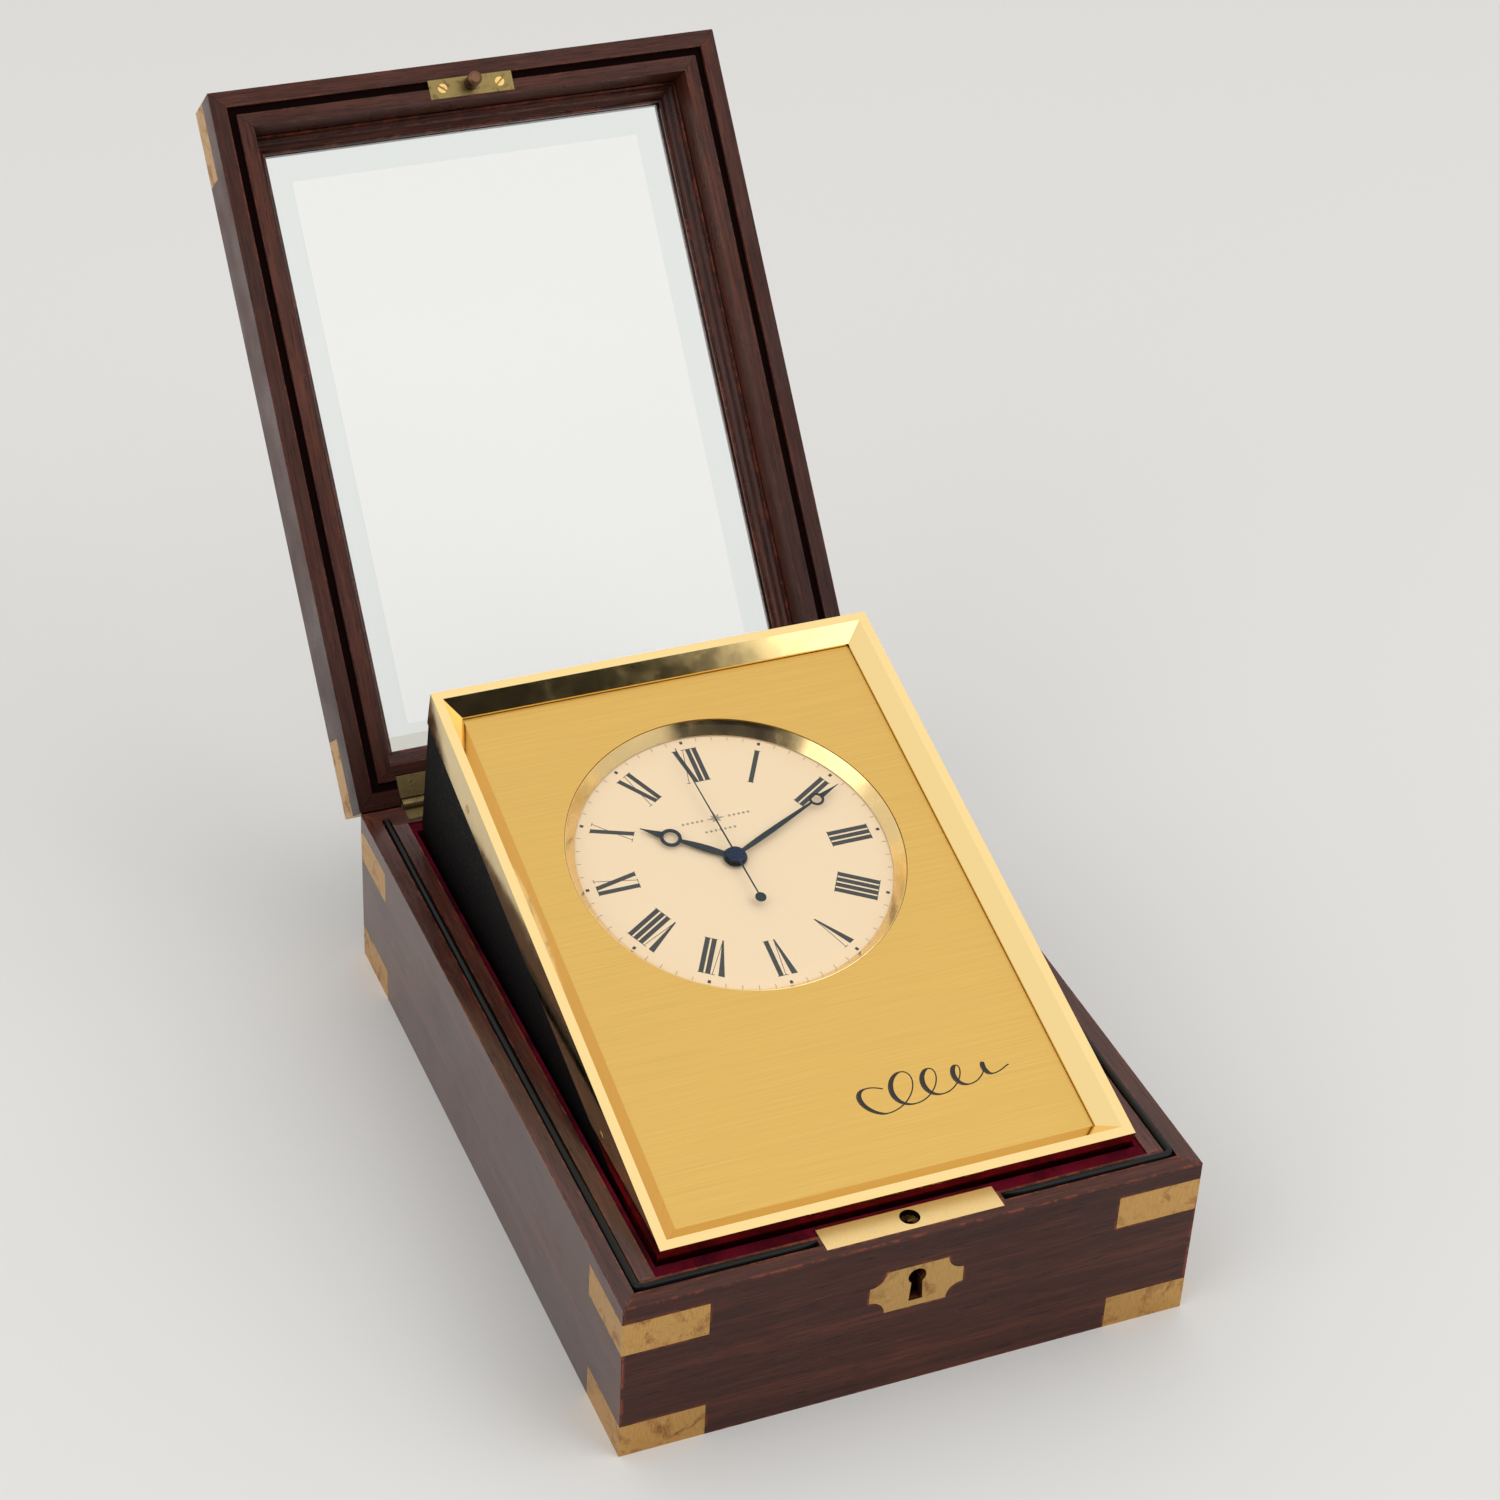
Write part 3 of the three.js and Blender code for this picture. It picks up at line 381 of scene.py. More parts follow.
RING_GOLD = polished_gold("gold_ring", tone(238, 208, 148), 0.16, 0.003)
SCREW_BRASS = aged_brass("brass_screw", tone(206, 170, 104), tone(150, 108, 62), 0.2, 0.3, ROW, 400)
# Near-black material for the pieces of painted shade in the lid's groove, the lock's holes and the
# seam behind the lid.
PAINTED_SHADE = painted("groove_shadow", tone(20, 7, 7), 0.9, 0.3, 900, 0.05, 1.1)
ENAMEL = painted("black_enamel", tone(30, 24, 18), 0.35, 0.1, 2400)
BRUSHED = brushed_gold("gold_brushed")
VELVET = velvet("velvet")
LEATHER = leathercloth("leathercloth")
RUBBER = painted("seal_rubber", tone(13, 16, 14), 0.3, 0.2, 1400, 0.02, 1.28)
DIAL_PAINT = painted("dial_cream", tone(238, 214, 179), 0.6, 0.012, 2200)
INK = painted("dial_ink", tone(58, 60, 59), 0.6, 0.12, 2600)
FAINT_INK = painted("dial_faint_ink", tone(158, 147, 124), 0.6, 0.08, 2600)
PALE_INK = painted("dial_pale_ink", tone(130, 120, 100), 0.6, 0.08, 2600)
BLUED = steel("blued_steel", tone(58, 66, 70), 0.34)
BLUED_HUB = steel("blued_hub", tone(40, 52, 76), 0.24)
STEEL = steel("steel", tone(176, 176, 178), 0.3)
PLASTIC = painted("black_plastic", tone(28, 28, 29), 0.45, 0.1, 1500, 0.02)
BOARD = painted("board_green", tone(30, 84, 46), 0.4, 0.15, 700)
COPPER = steel("copper_wire", tone(176, 98, 58), 0.35)
GLASS = clear_glass("glass", (0.992, 0.997, 0.995, 1), 2.2)
# The bevel's darker green-grey tint is painted shade, standing in for the band its refraction
# gives.
GLASS_EDGE = clear_glass("glass_bevel", (0.87, 0.915, 0.905, 1), 1.6)
CRYSTAL = clear_glass("crystal", (0.997, 0.997, 0.995, 1), 0.3)

# ---------------------------------------------------------------- shapes, as (points, faces)


def prism(points, z0, z1):
    n = len(points)
    verts = [(x, y, z0) for x, y in points] + [(x, y, z1) for x, y in points]
    sides = [(i, (i + 1) % n, n + (i + 1) % n, n + i) for i in range(n)]
    return verts, [tuple(reversed(range(n))), tuple(range(n, 2 * n)), *sides]


def revolved(profile, segments=96, closed=True):
    """A profile of (radius, z) turned about the Z axis."""
    n = len(profile)
    verts = []
    for i in range(segments):
        a = 2 * math.pi * i / segments
        verts += [(r * math.cos(a), r * math.sin(a), z) for r, z in profile]
    faces = []
    for i in range(segments):
        first, second = i * n, (i + 1) % segments * n
        for j in range(n if closed else n - 1):
            k = (j + 1) % n
            faces.append((first + j, second + j, second + k, first + k))
    return verts, faces


def mitred(section, half_x, half_y, sides=(0, 1, 2, 3)):
    """A section of (inset, z) run along the chosen sides of a rectangle, cut at 45 degrees."""
    corners = [(-1, -1), (1, -1), (1, 1), (-1, 1)]
    n = len(section)
    parts = []
    for side in sides:
        verts = []
        for sx, sy in (corners[side], corners[(side + 1) % 4]):
            verts += [(sx * (half_x - inset), sy * (half_y - inset), z) for inset, z in section]
        faces = [(j, n + j, n + (j + 1) % n, (j + 1) % n) for j in range(n)]
        parts.append((verts, faces + [tuple(range(n)), tuple(reversed(range(n, 2 * n)))]))
    return merged(*parts)


def swept(path, section, shrink=None):
    """A closed section of (sideways, z) run along a path in plan, its width scaled by shrink(i)."""
    n = len(section)
    verts = []
    for i, point in enumerate(path):
        scale = shrink(i) if shrink else 1
        before, after = path[max(i - 1, 0)], path[min(i + 1, len(path) - 1)]
        ahead = Vector((after[0] - before[0], after[1] - before[1])).normalized()
        side = Vector((ahead.y, -ahead.x)) * scale
        verts += [(point[0] + side.x * s, point[1] + side.y * s, z) for s, z in section]
    faces = [
        (i * n + j, i * n + n + j, i * n + n + (j + 1) % n, i * n + (j + 1) % n)
        for i in range(len(path) - 1)
        for j in range(n)
    ]
    last = (len(path) - 1) * n
    return verts, faces + [tuple(range(n)), tuple(reversed(range(last, last + n)))]


def merged(*parts):
    verts, faces = [], []
    for part_verts, part_faces in parts:
        faces += [tuple(i + len(verts) for i in face) for face in part_faces]
        verts += part_verts
    return verts, faces


def moved(part, space):
    return [tuple(space @ Vector(v)) for v in part[0]], part[1]


def piece(name, shape, material, body, space=ROW, replaces=(), crease=35):
    """A mesh object in the row frame that rides on a body."""
    verts, faces = shape
    mesh = bpy.data.meshes.new(name)
    mesh.from_pydata([space @ Vector(v) for v in verts], [], faces)
    work = bmesh.new()
    work.from_mesh(mesh)
    bmesh.ops.remove_doubles(work, verts=work.verts, dist=1e-6)
    bmesh.ops.dissolve_degenerate(work, edges=work.edges, dist=1e-6)
    bmesh.ops.recalc_face_normals(work, faces=work.faces)
    work.to_mesh(mesh)
    work.free()
    mesh.shade_smooth()
    mesh.set_sharp_from_angle(angle=math.radians(crease))
    mesh.materials.append(material)
    made = bpy.data.objects.new(name, mesh)
    bpy.context.scene.collection.objects.link(made)
    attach(made, body)
    if replaces:
        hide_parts(*replaces)
    return made


def soften(obj, width, segments=2, angle=30):
    """Rounds the edges of a piece that are sharper than an angle."""
    bevel = obj.modifiers.new("arris", "BEVEL")
    bevel.width = width
    bevel.segments = segments
    bevel.limit_method = "ANGLE"
    bevel.angle_limit = math.radians(angle)
    return obj


def dress(node, material, arris=0.0, segments=2):
    """Gives a CAD node its material and rounds its arrises."""
    obj = NODES[node]
    for slot in obj.material_slots:
        slot.material = material
    if arris:
        soften(obj, arris, segments)
    return obj


def arc_steps(start, end, count):
    """Angles from start to end degrees, in radians."""
    return [math.radians(start + (end - start) * i / count) for i in range(count + 1)]


def circle(radius, segments, x=0.0, y=0.0, start=0.0, turn=2 * math.pi):
    steps = segments if abs(turn - 2 * math.pi) < 1e-9 else segments + 1
    angles = [start + turn * i / segments for i in range(steps)]
    return [(x + radius * math.cos(a), y + radius * math.sin(a)) for a in angles]


def screw(name, radius, space, body, material, angle=25):
    """A slotted countersunk screw head, flush with the XY plane of its space."""
    gap = 0.14 * radius
    rim = math.asin(gap / radius)
    turn = space @ Matrix.Rotation(math.radians(angle), 4, "Z")
    sweep = math.pi - 2 * rim
    halves = [
        prism(circle(radius, 18, start=start + rim, turn=sweep), -0.3 * radius, 0.06 * radius)
        for start in (0, math.pi)
    ]
    slot_floor = prism(circle(radius * 0.97, 28), -0.5 * radius, -0.22 * radius)
    made = piece(name, merged(*halves, slot_floor), material, body, turn)
    return soften(made, 0.06 * radius, 2, 50)


# ---------------------------------------------------------------- wooden box


POLISHED = {"ior": 1.42, "rough": (0.12, 0.22)}
HANDLED = {"ior": 1.3, "wear": 1.0}
# The lid's faces carry painted shade that darkens them towards the hinge.
LID_FACE = {"ior": 1.24, "wear": 0.45, "dusk": 0.6}


def dress_wood():
    grain = {
        "base_front_wall": ("X", ROW, 0.31, HANDLED),
        "base_back_wall": ("X", ROW, 0.87, {}),
        "base_left_wall": ("Y", ROW, 1.13, POLISHED),
        "base_right_wall": ("Y", ROW, 1.71, POLISHED),
        "base_bottom_board": ("Y", ROW, 2.05, {}),
        "lid_front_rail": ("X", LID, 2.41, LID_FACE),
        "lid_back_rail": ("X", LID, 2.93, LID_FACE),
        "lid_left_stile": ("Y", LID, 3.37, LID_FACE),
        "lid_right_stile": ("Y", LID, 3.79, LID_FACE),
    }
    for node, (axis, space, seed, finish) in grain.items():
        dress(node, mahogany("mahogany_" + node, axis, space, seed, **finish), 0.35 * MM, 3)


def build_glazing_bead():
    """Moulding that holds the glass: a hollow, a round and a thin fillet, mitred at the corners."""
    low, high = local_box("glazing_bead", LID)
    middle = (low + high) / 2
    half_x, half_y = (high.x - low.x) / 2, (high.y - low.y) / 2
    width, top, foot = 4.9 * MM, high.z, low.z
    hollow = [(0.6 + 1.1 * (1 - math.cos(a)), 0.2 + 1.6 * math.sin(a)) for a in arc_steps(0, 90, 5)]
    swell = [(1.9 + 2.3 * math.sin(a), 4.3 - 2.2 * math.cos(a)) for a in arc_steps(0, 90, 7)]
    inner = [(inset * MM, foot + z * MM) for inset, z in hollow + swell]
    section = [(0, foot), (0, top), (width, top), (width, top - 0.9 * MM), *reversed(inner)]
    space = LID @ Matrix.Translation((middle.x, middle.y, 0))
    for side, name in enumerate(("front", "right", "back", "left")):
        axis = "Y" if side % 2 else "X"
        seed = 4.2 + side * 0.37
        material = mahogany("mahogany_bead_" + name, axis, LID, seed, 1.3, (0.18, 0.3))
        nodes = ("glazing_bead",) if side == 0 else ()
        shape = mitred(section, half_x, half_y, (side,))
        piece("glazing_bead_" + name, shape, material, "lid", space, nodes, 50)


def build_lid_groove():
    """Dark strip let into the groove of the lid's mating face, painted shade that makes the groove
    read dark.
    """
    low = local_box("lid_front_rail", LID)[0]
    high = local_box("lid_back_rail", LID)[1]
    outer, inner = 5.1 * MM, 7.5 * MM
    deep, shallow = low.z + 1.95 * MM, low.z + 1.25 * MM
    section = [(outer, deep), (outer, shallow), (inner, shallow), (inner, deep)]
    space = LID @ Matrix.Translation((0, (low.y + high.y) / 2, 0))
    strip = mitred(section, high.x, (high.y - low.y) / 2)
    piece("lid_groove_shade", strip, PAINTED_SHADE, "lid", space)


def dress_metalwork():
    for node in NODES:
        if node.startswith("strap_"):
            dress(node, BRASS, 0.18 * MM)
        if node.startswith("lid_strap_"):
            dress(node, LID_BRASS, 0.18 * MM)
        if node.startswith("hinge_"):
            dress(node, HINGE_BRASS, 0.12 * MM)
    dress("escutcheon", ESCUTCHEON_BRASS, 0.12 * MM)
    dress("lock_body", LOCK_BRASS, 0.12 * MM)
    dress("lock_bolt", STEEL, 0.12 * MM)
    dress("tilt_axle", STEEL, 0.2 * MM)
    dress("tilt_prop", STEEL, 0.5 * MM, 3)
    dress("strike_plate", STRIKE_BRASS, 0.1 * MM)


def build_lock_shades():
    """Black linings of painted shade in the keyhole and the stud's hole, so that both read as deep
    holes.
    """
    low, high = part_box("escutcheon")
    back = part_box("lock_body")[0].y
    x, z = (low.x + high.x) / 2, (low.z + high.z) / 2
    half, front, rear = 2.5 * MM, -0.9 * MM, -0.4 * MM
    outline = [(x - half, front), (x + half, front), (x + half, rear), (x - half, rear)]
    shape = prism(outline, z - 5.2 * MM, z + 5.8 * MM)
    place = Matrix.Translation((0, back + 1 * MM, 0))
    piece("keyhole_shade", shape, PAINTED_SHADE, "base", place)

    # The lock bolt crosses the stud's hole between the collar and the cup.
    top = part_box("lock_body")[1].z
    hole, bore = 2.78 * MM, 2.7 * MM
    foot, floor, ledge = top - 8.9 * MM, top - 8.8 * MM, top - 4.1 * MM
    cup = [(0, foot), (hole, foot), (hole, ledge), (bore, ledge), (bore, floor), (0, floor)]
    lower, upper = top - 1.9 * MM, top - 0.15 * MM
    collar = [(bore, lower), (hole, lower), (hole, upper), (bore, upper)]
    shape = merged(revolved(cup, 48, False), revolved(collar, 48))
    place = Matrix.Translation((x, low.y + 7.3 * MM, 0))
    piece("stud_hole_shade", shape, PAINTED_SHADE, "base", place)


# ---------------------------------------------------------------- seal and lining


def build_seals():
    """Rubber beads pressed into the rim, domed on top and rounding the front corners."""
    for side, node in ((-1, "dust_seal_left"), (1, "dust_seal_right")):
        low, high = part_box(node)
        half = 1 * MM
        outer_x = low.x if side < 0 else high.x
        end_x = high.x if side < 0 else low.x
        x, y = outer_x - side * half, low.y + half
        # Radius of the bend at the front corner.
        radius = 1.6 * MM
        centre = (x - side * radius, y + radius)
        bend = [
            (centre[0] + side * radius * math.cos(a), centre[1] - radius * math.sin(a))
            for a in arc_steps(0, 90, 8)
        ]
        taper = [(end_x + side * step * MM, y) for step in (6, 4, 2.4, 1.2, 0.4, 0)]
        path = [(x, high.y - 0.6 * MM), (x, high.y - 90 * MM), *bend, *taper]
        turns = arc_steps(0, 180, 10)
        dome = [(half * math.cos(a), high.z - half + half * math.sin(a)) for a in turns]
        section = [*dome, (-half, low.z), (half, low.z)]
        widths = [0.55, *(1.0 for _ in path[1 : -len(taper)]), 1.0, 0.9, 0.72, 0.5, 0.3, 0.2]
        shape = swept(path, section, widths.__getitem__)
        piece(node + "_bead", shape, RUBBER, "base", ROW, (node,), 50)


def build_rear_seam_shade():
    """Dark rod of painted shade on the hinge axis, which darkens the seam behind the lid without
    rubbing on it.
    """
    axle = LID.translation
    low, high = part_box("hinge_base_leaf_left")
    clear = 0.3 * MM
    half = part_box("base_back_wall")[1].x - clear
    spans = ((-half, low.x - clear), (high.x + clear, -high.x - clear), (-low.x + clear, half))
    section = circle(0.31 * MM, 12)
    along_x = Matrix.Translation(axle) @ Matrix.Rotation(math.pi / 2, 4, "Y")
    seam_shade_rods = [moved(prism(section, start, end), along_x) for start, end in spans]
    piece("rear_seam_shade", merged(*seam_shade_rods), PAINTED_SHADE, "base", ROW)


def build_lining():
    """Velvet glued over card: the tray's own shape with soft rolled edges."""
    source = NODES["velvet_lining"]
    made = bpy.data.objects.new("velvet_tray", source.data.copy())
    bpy.context.scene.collection.objects.link(made)
    made.data.materials.clear()
    made.data.materials.append(VELVET)
    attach(made, "base")
    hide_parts("velvet_lining")
    soften(made, 0.7 * MM, 3)


# ---------------------------------------------------------------- glass


def build_lid_glass():
    """Plate glass with a wide ground bevel round its upper face."""
    low, high = local_box("lid_glass", LID)
    middle = (low + high) / 2
    half_x, half_y = (high.x - low.x) / 2, (high.y - low.y) / 2
    edge, sight, bevel = 2.2 * MM, 4.6 * MM, 8.2 * MM
    space = LID @ Matrix.Translation((middle.x, middle.y, 0))
    levels = [(0, low.z), (0, low.z + edge), (sight, low.z + edge), (sight + bevel, high.z)]
    verts, faces = [], []
    for inset, z in levels:
        x, y = half_x - inset, half_y - inset
        verts += [(-x, -y, z), (x, -y, z), (x, y, z), (-x, y, z)]
    for first in (0, 4, 8):
        for i in range(4):
            j = (i + 1) % 4
            faces.append((first + i, first + j, first + 4 + j, first + 4 + i))
    faces += [(3, 2, 1, 0), (12, 13, 14, 15)]
    made = piece("lid_glass_pane", (verts, faces), GLASS, "lid", space, ("lid_glass",), 1)
    # The bevel faces take the darker tinted glass, painted shade for the bevel's refraction.
    made.data.materials.append(GLASS_EDGE)
    for polygon in made.data.polygons:
        slanted = abs((space.inverted().to_3x3() @ polygon.normal).z)
        polygon.material_index = 1 if 0.05 < slanted < 0.995 else 0


# ---------------------------------------------------------------- clock face


def build_front():
    """Polished bezel, brushed plate with a round opening, and the conical ring inside it."""
    dress("bezel_frame", GOLD, 0.22 * MM, 3)
    low, high = local_box("front_plate", CLOCK)
    centre = Vector(((low.x + high.x) / 2, DIAL_LOW.y + (DIAL_HIGH.y - DIAL_LOW.y) / 2))
    hole, segments = 48.75 * MM, 192
    rim = circle(hole, segments, centre.x, centre.y)
    outer = [on_rectangle(x - centre.x, y - centre.y, low, high, centre) for x, y in rim]
    verts, faces = [], []
    for points, z in ((outer, high.z), (rim, high.z), (rim, low.z), (outer, low.z)):
        verts += [(x, y, z) for x, y in points]
    for ring in range(4):
        a, b = ring * segments, (ring + 1) % 4 * segments
        for i in range(segments):
            j = (i + 1) % segments
            faces.append((a + i, a + j, b + j, b + i))
    shape, stands_for = (verts, faces), ("front_plate",)
    plate = piece("brushed_plate", shape, BRUSHED, "clock", CLOCK, stands_for)
    soften(plate, 0.1 * MM, 2, 60)

    low, high = local_box("dial_ring", DIAL)
    outer, inner = 48.62 * MM, 45.6 * MM
    profile = [
        (outer, high.z - 0.1 * MM),
        (outer - 0.15 * MM, high.z - 0.05 * MM),
        (inner, low.z + 0.15 * MM),
        (inner, low.z),
        (outer, low.z),
    ]
    cone = revolved(profile, segments)
    piece("dial_cone", cone, RING_GOLD, "clock", DIAL, ("dial_ring",))


def on_rectangle(dx, dy, low, high, centre):
    """Where a ray from the dial centre leaves the plate."""
    reach = [(high.x if dx > 0 else low.x) - centre.x, (high.y if dy > 0 else low.y) - centre.y]
    scale = min(reach[i] / d for i, d in enumerate((dx, dy)) if abs(d) > 1e-12)
    return centre.x + dx * scale, centre.y + dy * scale


# Roman numerals, in millimetres: thick stroke, room for an I, hairline, height, and how far
# their feet stand from the centre.
STROKE, PITCH, HAIR, TALL, FEET = 1.38, 1.92, 0.17, 12.4, 29.3


def bar(x0, y0, x1, y1, foot, head):
    """A straight stroke with level ends, given its width at the foot and at the head."""
    return [(x0 - foot / 2, y0), (x0 + foot / 2, y0), (x1 + head / 2, y1), (x1 - head / 2, y1)]


def serif(x, y, half):
    return [(x - half, y), (x + half, y), (x + half, y + HAIR), (x - half, y + HAIR)]


def letter(kind, x):
    """Strokes of one Roman letter whose left edge is at x, and the room it takes."""
    if kind == "I":
        middle = x + PITCH / 2
        ends = [serif(middle, y, STROKE / 2 + 0.26) for y in (0, TALL - HAIR)]
        return [bar(middle, 0, middle, TALL, STROKE, STROKE), *ends], PITCH
    reach = 3.5
    left, right = x + STROKE / 2 + 0.15, x + reach
    strokes = [serif(left, TALL - HAIR, 0.9), serif(right - 0.1, TALL - HAIR, 0.65)]
    if kind == "V":
        foot = (left + right) / 2 + 0.25
        strokes.append(bar(foot, 0, left, TALL, STROKE * 0.3, STROKE * 1.3))
        strokes.append(bar(foot, 0, right, TALL, HAIR, HAIR))
    else:
        strokes.append(bar(right - 0.2, 0, left, TALL, STROKE, STROKE))
        strokes.append(bar(left + 0.1, 0, right - 0.1, TALL, HAIR, HAIR))
        strokes += [serif(left, 0, 0.65), serif(right - 0.2, 0, 0.9)]
    return strokes, reach + 0.35


INK_BASE, INK_TOP = 0.004 * MM, 0.03 * MM


def printed(name, outlines, material):
    """Flat marks on the dial. Crossing strokes differ a little in height, so none share a face."""
    marks = []
    for i, points in enumerate(outlines):
        marks.append(prism(points, INK_BASE, INK_TOP + 0.0005 * MM * (i % 7)))
    piece(name, merged(*marks), material, "clock", DIAL)


def on_dial(points, hours):
    """Points in millimetres, drawn at XII, turned to a place on the dial in hours."""
    a = -math.radians(30 * hours)
    cos, sin = math.cos(a) * MM, math.sin(a) * MM
    return [(x * cos - y * sin, x * sin + y * cos) for x, y in points]


def build_dial():
    edge, back = 48.2 * MM, -0.8 * MM
    disc = revolved([(0, 0), (edge, 0), (edge, back), (0, back)], 192, False)
    piece("dial_face", disc, DIAL_PAINT, "clock", DIAL, ("dial",))
    numerals, dots, ticks = [], [], []
    words = ["XII", "I", "II", "III", "IIII", "V", "VI", "VII", "VIII", "IX", "X", "XI"]
    for hour, word in enumerate(words):
        x, strokes = 0.0, []
        for kind in word:
            made, width = letter(kind, x)
            strokes += made
            x += width
        for stroke in strokes:
            numerals.append(on_dial([(px - x / 2, py + FEET) for px, py in stroke], hour))
        dots.append(on_dial([(-0.42, 43.75), (0.42, 43.75), (0.46, 44.8), (-0.46, 44.8)], hour))
    tick = [(-0.075, 44), (0.075, 44), (0.075, 45.2), (-0.075, 45.2)]
    for minute in range(60):
        if minute % 5:
            ticks.append(on_dial(tick, minute / 5))
    printed("numerals", numerals, INK)
    printed("hour_dots", dots, INK)
    printed("minute_ticks", ticks, PALE_INK)
    build_star()


def build_star():
    """A compass star above the centre, between rows of small diamonds."""
    star = []
    for i in range(16):
        radius = 2.9 if i % 4 == 0 else 1.9 if i % 2 == 0 else 0.95
        angle = math.pi * i / 8
        star.append((radius * math.sin(angle), 15.4 + radius * math.cos(angle)))
    rows = [(side * (4.2 + 1.45 * i), 15.4) for side in (-1, 1) for i in range(5)]
    rows += [(1.45 * i, 11.2) for i in range(-3, 4)]
    diamonds = [[(x - 0.5, y), (x, y - 0.5), (x + 0.5, y), (x, y + 0.5)] for x, y in rows]
    printed("dial_star", [on_dial(points, 0) for points in (star, *diamonds)], FAINT_INK)


def both_sides(halves):
    """A closed outline from half widths along Y, given in millimetres."""
    right = [(half * MM, y * MM) for half, y in halves]
    return right + [(-x, y) for x, y in reversed(right)]


def hand_shape(stem, ring_at, ring, hole, leaf, z0, z1):
    """A hand along +Y: a swelling stem, an open ring and a pointed leaf."""
    band = [(hole * MM, z0), (ring * MM, z0), (ring * MM, z1), (hole * MM, z1)]
    circle_band = moved(revolved(band, 48), Matrix.Translation((0, ring_at * MM, 0)))
    return merged(prism(both_sides(stem), z0, z1), circle_band, prism(both_sides(leaf), z0, z1))


def swelling(start, end, root, widest, peak=0.45, count=14):
    """Half widths of a stem that swells between its two thin ends."""
    steps = []
    for i in range(count + 1):
        t = i / count
        lift = math.sin(math.pi * t ** (math.log(0.5) / math.log(peak)))
        steps.append((root + (widest - root) * lift, start + (end - start) * t))
    return steps


def leaf_steps(start, end, widest, count=10):
    steps = [i / count for i in range(count + 1)]
    return [(widest * (1 - t) ** 1.25 + 0.06, start + (end - start) * t) for t in steps]


HANDS = {
    "hour_hand": {
        "body": "hours",
        "stem": (16.4, 0.5, 1.12, 0.5),
        "ring": (19.0, 3.15, 2.1),
        "leaf": (21.6, 28.2, 1.2),
        "hub": (2.35, 3.5),
    },
    "minute_hand": {
        "body": "centre",
        "stem": (31.3, 0.34, 0.86, 0.38),
        "ring": (33.15, 2.25, 1.5),
        "leaf": (35.0, 42.2, 0.8),
        "hub": (1.6, 2.9),
    },
}


def build_hands():
    turns = {"hour_hand": TIME["hour"] * 30 + TIME["minute"] / 2, "minute_hand": TIME["minute"] * 6}
    for node, spec in HANDS.items():
        low, high = local_box(node, DIAL)
        end, root, widest, peak = spec["stem"]
        stem = swelling(0, end, root, widest, peak)
        ring_at, ring, hole = spec["ring"]
        leaf = leaf_steps(*spec["leaf"])
        inner, outer = (r * MM for r in spec["hub"])
        hub = revolved([(inner, low.z), (outer, low.z), (outer, high.z), (inner, high.z)], 64)
        shape = merged(hand_shape(stem, ring_at, ring, hole, leaf, low.z, high.z), hub)
        space = DIAL @ Matrix.Rotation(-math.radians(turns[node]), 4, "Z")
        made = piece(node + "_blade", shape, BLUED, spec["body"], space, (node,))
        soften(made, 0.06 * MM, 2, 50)
    build_second_hand()


def build_second_hand():
    low, high = local_box("second_hand", DIAL)
    top = high.z - 0.15 * MM
    base = top - 0.22 * MM
    needle = both_sides([(0.12, 41), (0.24, 2), (0.24, -2), (0.2, -15)])
    disc = revolved([(0, base), (1.6 * MM, base), (1.6 * MM, top), (0, top)], 40, False)
    tail = moved(disc, Matrix.Translation((0, -16.2 * MM, 0)))
    edge, crown = high.z - 0.2 * MM, high.z + 0.12 * MM
    wide, narrow = 2.7 * MM, 2.1 * MM
    profile = [(0, low.z), (wide, low.z), (wide, edge), (narrow, high.z), (0, crown)]
    shape = merged(prism(needle, base, top), tail, revolved(profile, 56, False))
    space = DIAL @ Matrix.Rotation(-math.radians(TIME["second"] * 6), 4, "Z")
    stands_for = ("second_hand",)
    made = piece("second_hand_needle", shape, BLUED, "seconds", space, stands_for)
    made.data.materials.append(BLUED_HUB)
    for polygon in made.data.polygons:
        if (space.inverted() @ polygon.center).xy.length < 2.75 * MM:
            polygon.material_index = 1
    soften(made, 0.04 * MM, 2, 50)


def build_flourish():
    """Enamelled pen flourish on the plate: a row of falling loops between two long tails."""
    low, high = local_box("front_plate", CLOCK)
    steps, loops = 260, 4
    line = []
    for i in range(steps + 1):
        t = i / steps
        a = 2 * math.pi * (loops + 0.9) * t - 0.6
        tall = 6.2 * (1 - t) ** 0.9 + 2.0
        x = 40 * t + 1.5 - 0.8 * tall * math.sin(a) * (1 - 0.35 * t)
        y = 0.8 * tall * math.cos(a) * min(1, 6 * t + 0.3, 9 * (1 - t) + 0.15)
        line.append((x + 0.34 * y, y))
    ribbons = []
    for i, ((x0, y0), (x1, y1)) in enumerate(zip(line, line[1:])):
        length = math.hypot(x1 - x0, y1 - y0)
        falling = max(0.0, (y0 - y1) / length)
        half = 0.19 + 0.58 * falling**1.2
        dx, dy = (y1 - y0) / length * half, -(x1 - x0) / length * half
        points = [(x0 - dx, y0 - dy), (x0 + dx, y0 + dy), (x1 + dx, y1 + dy), (x1 - dx, y1 - dy)]
        outline = [(px * MM, py * MM) for px, py in points]
        ribbons.append(prism(outline, -0.002 * MM, (0.02 + 0.0003 * (i % 9)) * MM))
    place = Matrix.Translation((3.5 * MM, low.y + 30 * MM, high.z))
    piece("plate_flourish", merged(*ribbons), ENAMEL, "clock", CLOCK @ place)


def build_crystal():
    low, high = local_box("dial_crystal", DIAL)
    radius = (high.x - low.x) / 2
    profile = [(0, low.z), (radius, low.z), (radius, high.z), (0, high.z)]
    disc = revolved(profile, 128, False)
    piece("crystal_disc", disc, CRYSTAL, "clock", DIAL, ("dial_crystal",))


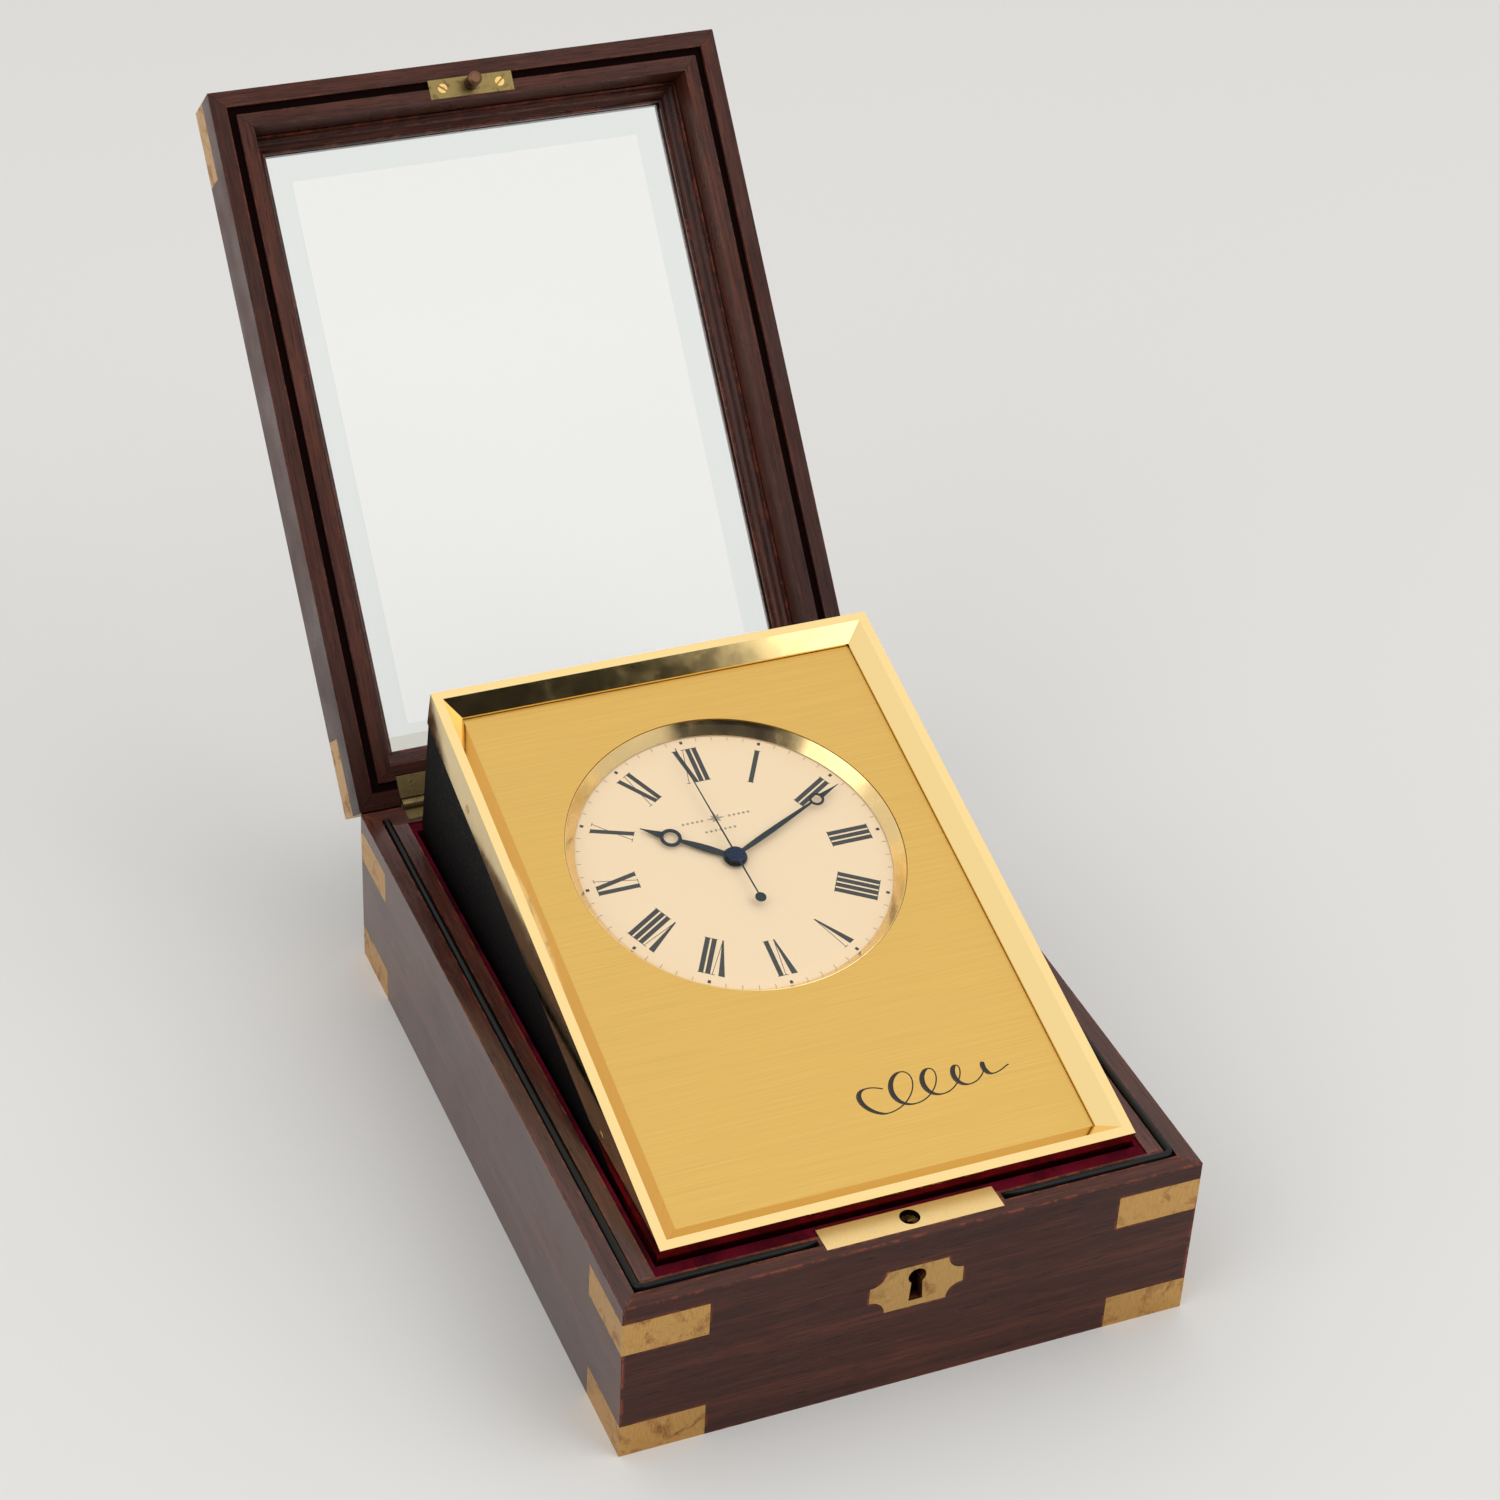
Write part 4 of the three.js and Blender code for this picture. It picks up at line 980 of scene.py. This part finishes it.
def dress_clock():
    dress("case_shell", LEATHER, 0.8 * MM, 3)
    dress("back_cover", PLASTIC, 0.4 * MM)
    dress("setting_knob", PLASTIC, 0.15 * MM)
    for node in ("movement_plate", "train_bridge"):
        dress(node, LOCK_BRASS)
    for wheel in ("seconds", "third", "centre", "motion", "hour"):
        dress(wheel + "_wheel", LOCK_BRASS)
    dress("rotor", STEEL)
    dress("battery", STEEL, 0.6 * MM)
    dress("coil", COPPER)
    dress("circuit_board", BOARD)


# ---------------------------------------------------------------- screws


def build_screws():
    half_turn = Matrix.Rotation(math.pi, 4, "X")
    low, high = local_box("strike_plate", LID)
    for name, side in (("left", -1), ("right", 1)):
        place = LID @ Matrix.Translation((side * 9.3 * MM, low.y + 3 * MM, high.z - 1 * MM))
        screw("strike_screw_" + name, 1.55 * MM, place @ half_turn, "lid", SCREW_BRASS, 40 * side)
    # The leaves' faces lie just off the axle's height, the base's below it and the lid's above.
    from_axle = 0.25 * MM
    for node, space, body, turn, face in (
        ("hinge_base_leaf", ROW, "base", Matrix.Identity(4), LID.translation.z - from_axle),
        ("hinge_lid_leaf", LID, "lid", half_turn, from_axle),
    ):
        for side in ("left", "right"):
            low, high = local_box(f"{node}_{side}", space)
            for i in range(3):
                x = low.x + (high.x - low.x) * (0.18 + 0.32 * i)
                place = space @ Matrix.Translation((x, low.y + 2.6 * MM, face)) @ turn
                name = f"{node}_{side}_screw_{i}"
                screw(name, 1.3 * MM, place, body, HINGE_BRASS, 30 + 47 * i)
    low, high = local_box("bezel_frame", CLOCK)
    for name, side in (("left", -1), ("right", 1)):
        for i, share in enumerate((0.22, 0.81)):
            x = low.x if side < 0 else high.x
            place = Matrix.Translation((x, low.y + (high.y - low.y) * share, high.z - 8.8 * MM))
            place = CLOCK @ place @ Matrix.Rotation(side * math.pi / 2, 4, "Y")
            screw(f"bezel_screw_{name}_{i}", 1.4 * MM, place, "clock", SCREW_BRASS, 20 + 50 * i)
    low, high = local_box("back_cover", CLOCK)
    inset, face = 6 * MM, high.z - 2 * MM
    for i, (x, y) in enumerate([(-1, -1), (1, -1), (1, 1), (-1, 1)]):
        along = high.y - inset if y > 0 else low.y + inset
        place = CLOCK @ Matrix.Translation((x * (high.x - inset), along, face)) @ half_turn
        screw(f"cover_screw_{i}", 2.2 * MM, place, "clock", STEEL, 40 * i)


# ---------------------------------------------------------------- studio


def build_floor():
    t = Tree("studio_floor")
    material = t.principled(Base_Color=tone(218, 217, 215), Roughness=1.0, IOR=1.0)
    mesh = bpy.data.meshes.new("studio_floor")
    half = 30.0
    corners = [(-half, -half, 0), (half, -half, 0), (half, half, 0), (-half, half, 0)]
    mesh.from_pydata(corners, [], [(0, 1, 2, 3)])
    mesh.materials.append(material)
    floor = bpy.data.objects.new("studio_floor", mesh)
    bpy.context.scene.collection.objects.link(floor)


def softbox(name, place, aim, width, height, watts):
    light = bpy.data.lights.new(name, "AREA")
    light.shape = "RECTANGLE"
    light.size, light.size_y = width, height
    light.energy = watts
    made = bpy.data.objects.new(name, light)
    bpy.context.scene.collection.objects.link(made)
    made.location = place
    made.rotation_euler = (Vector(aim) - Vector(place)).to_track_quat("-Z", "Y").to_euler()


def build_light():
    """A white dome, brighter overhead and dark low in front, with a softbox on either side."""
    world = bpy.data.worlds.new("studio")
    world.use_nodes = True
    tree = world.node_tree
    add, link = tree.nodes.new, tree.links.new
    toward = add("ShaderNodeTexCoord").outputs["Generated"]
    up = add("ShaderNodeSeparateXYZ")
    link(toward, up.inputs[0])
    overhead = add("ShaderNodeMapRange")
    link(up.outputs["Z"], overhead.inputs["Value"])
    overhead.inputs["From Max"].default_value = 0.8
    overhead.inputs["To Min"].default_value = 0.73
    overhead.inputs["To Max"].default_value = 1.06
    facing = add("ShaderNodeVectorMath")
    facing.operation = "DOT_PRODUCT"
    link(toward, facing.inputs[0])
    facing.inputs[1].default_value = (-0.2, -0.95, 0.24)
    dark = add("ShaderNodeMapRange")
    link(facing.outputs["Value"], dark.inputs["Value"])
    dark.inputs["From Min"].default_value = 0.81
    dark.inputs["From Max"].default_value = 0.835
    dark.inputs["To Min"].default_value = 1.0
    dark.inputs["To Max"].default_value = 0.02
    strength = add("ShaderNodeMath")
    strength.operation = "MULTIPLY"
    link(overhead.outputs["Result"], strength.inputs[0])
    link(dark.outputs["Result"], strength.inputs[1])
    background = tree.nodes["Background"]
    background.inputs["Color"].default_value = (1.0, 0.995, 0.985, 1)
    link(strength.outputs[0], background.inputs["Strength"])
    bpy.context.scene.world = world
    softbox("front_right", (1.19, -1.15, 1.6), (0, 0, 0.1), 1.6, 2.0, 11.5)
    softbox("left", (-1.6, -0.5, 1.15), (0, 0, 0.05), 1.4, 1.4, 7)


CAMERA = {
    "azimuth": -22.75,
    "elevation": 35.63,
    "roll": 2.21,
    "target": (-35.3 * MM, -22.4 * MM, 142.0 * MM),
    "distance": 873.4 * MM,
    "lens": 80.8,
    "shift": (0.0472, 0.0262),
}


def build_camera():
    a, e, r = (math.radians(CAMERA[key]) for key in ("azimuth", "elevation", "roll"))
    back = Vector((math.sin(a) * math.cos(e), -math.cos(a) * math.cos(e), math.sin(e)))
    level = Vector((math.cos(a), math.sin(a), 0))
    right = level * math.cos(r) + back.cross(level) * math.sin(r)
    up = back.cross(right)
    data = bpy.data.cameras.new("camera")
    data.sensor_width = 36
    data.lens = CAMERA["lens"]
    data.shift_x, data.shift_y = CAMERA["shift"]
    made = bpy.data.objects.new("camera", data)
    bpy.context.scene.collection.objects.link(made)
    turn = Matrix((right, up, back)).transposed().to_4x4()
    stand = Vector(CAMERA["target"]) + back * CAMERA["distance"]
    made.matrix_world = Matrix.Translation(stand) @ turn
    bpy.context.scene.camera = made


build_camera()
build_light()
build_floor()
dress_wood()
build_glazing_bead()
build_lid_groove()
build_lock_shades()
dress_metalwork()
build_seals()
build_rear_seam_shade()
build_lining()
build_lid_glass()
build_front()
build_dial()
build_hands()
build_crystal()
build_flourish()
dress_clock()
build_screws()

bpy.context.scene.view_settings.view_transform = "Standard"
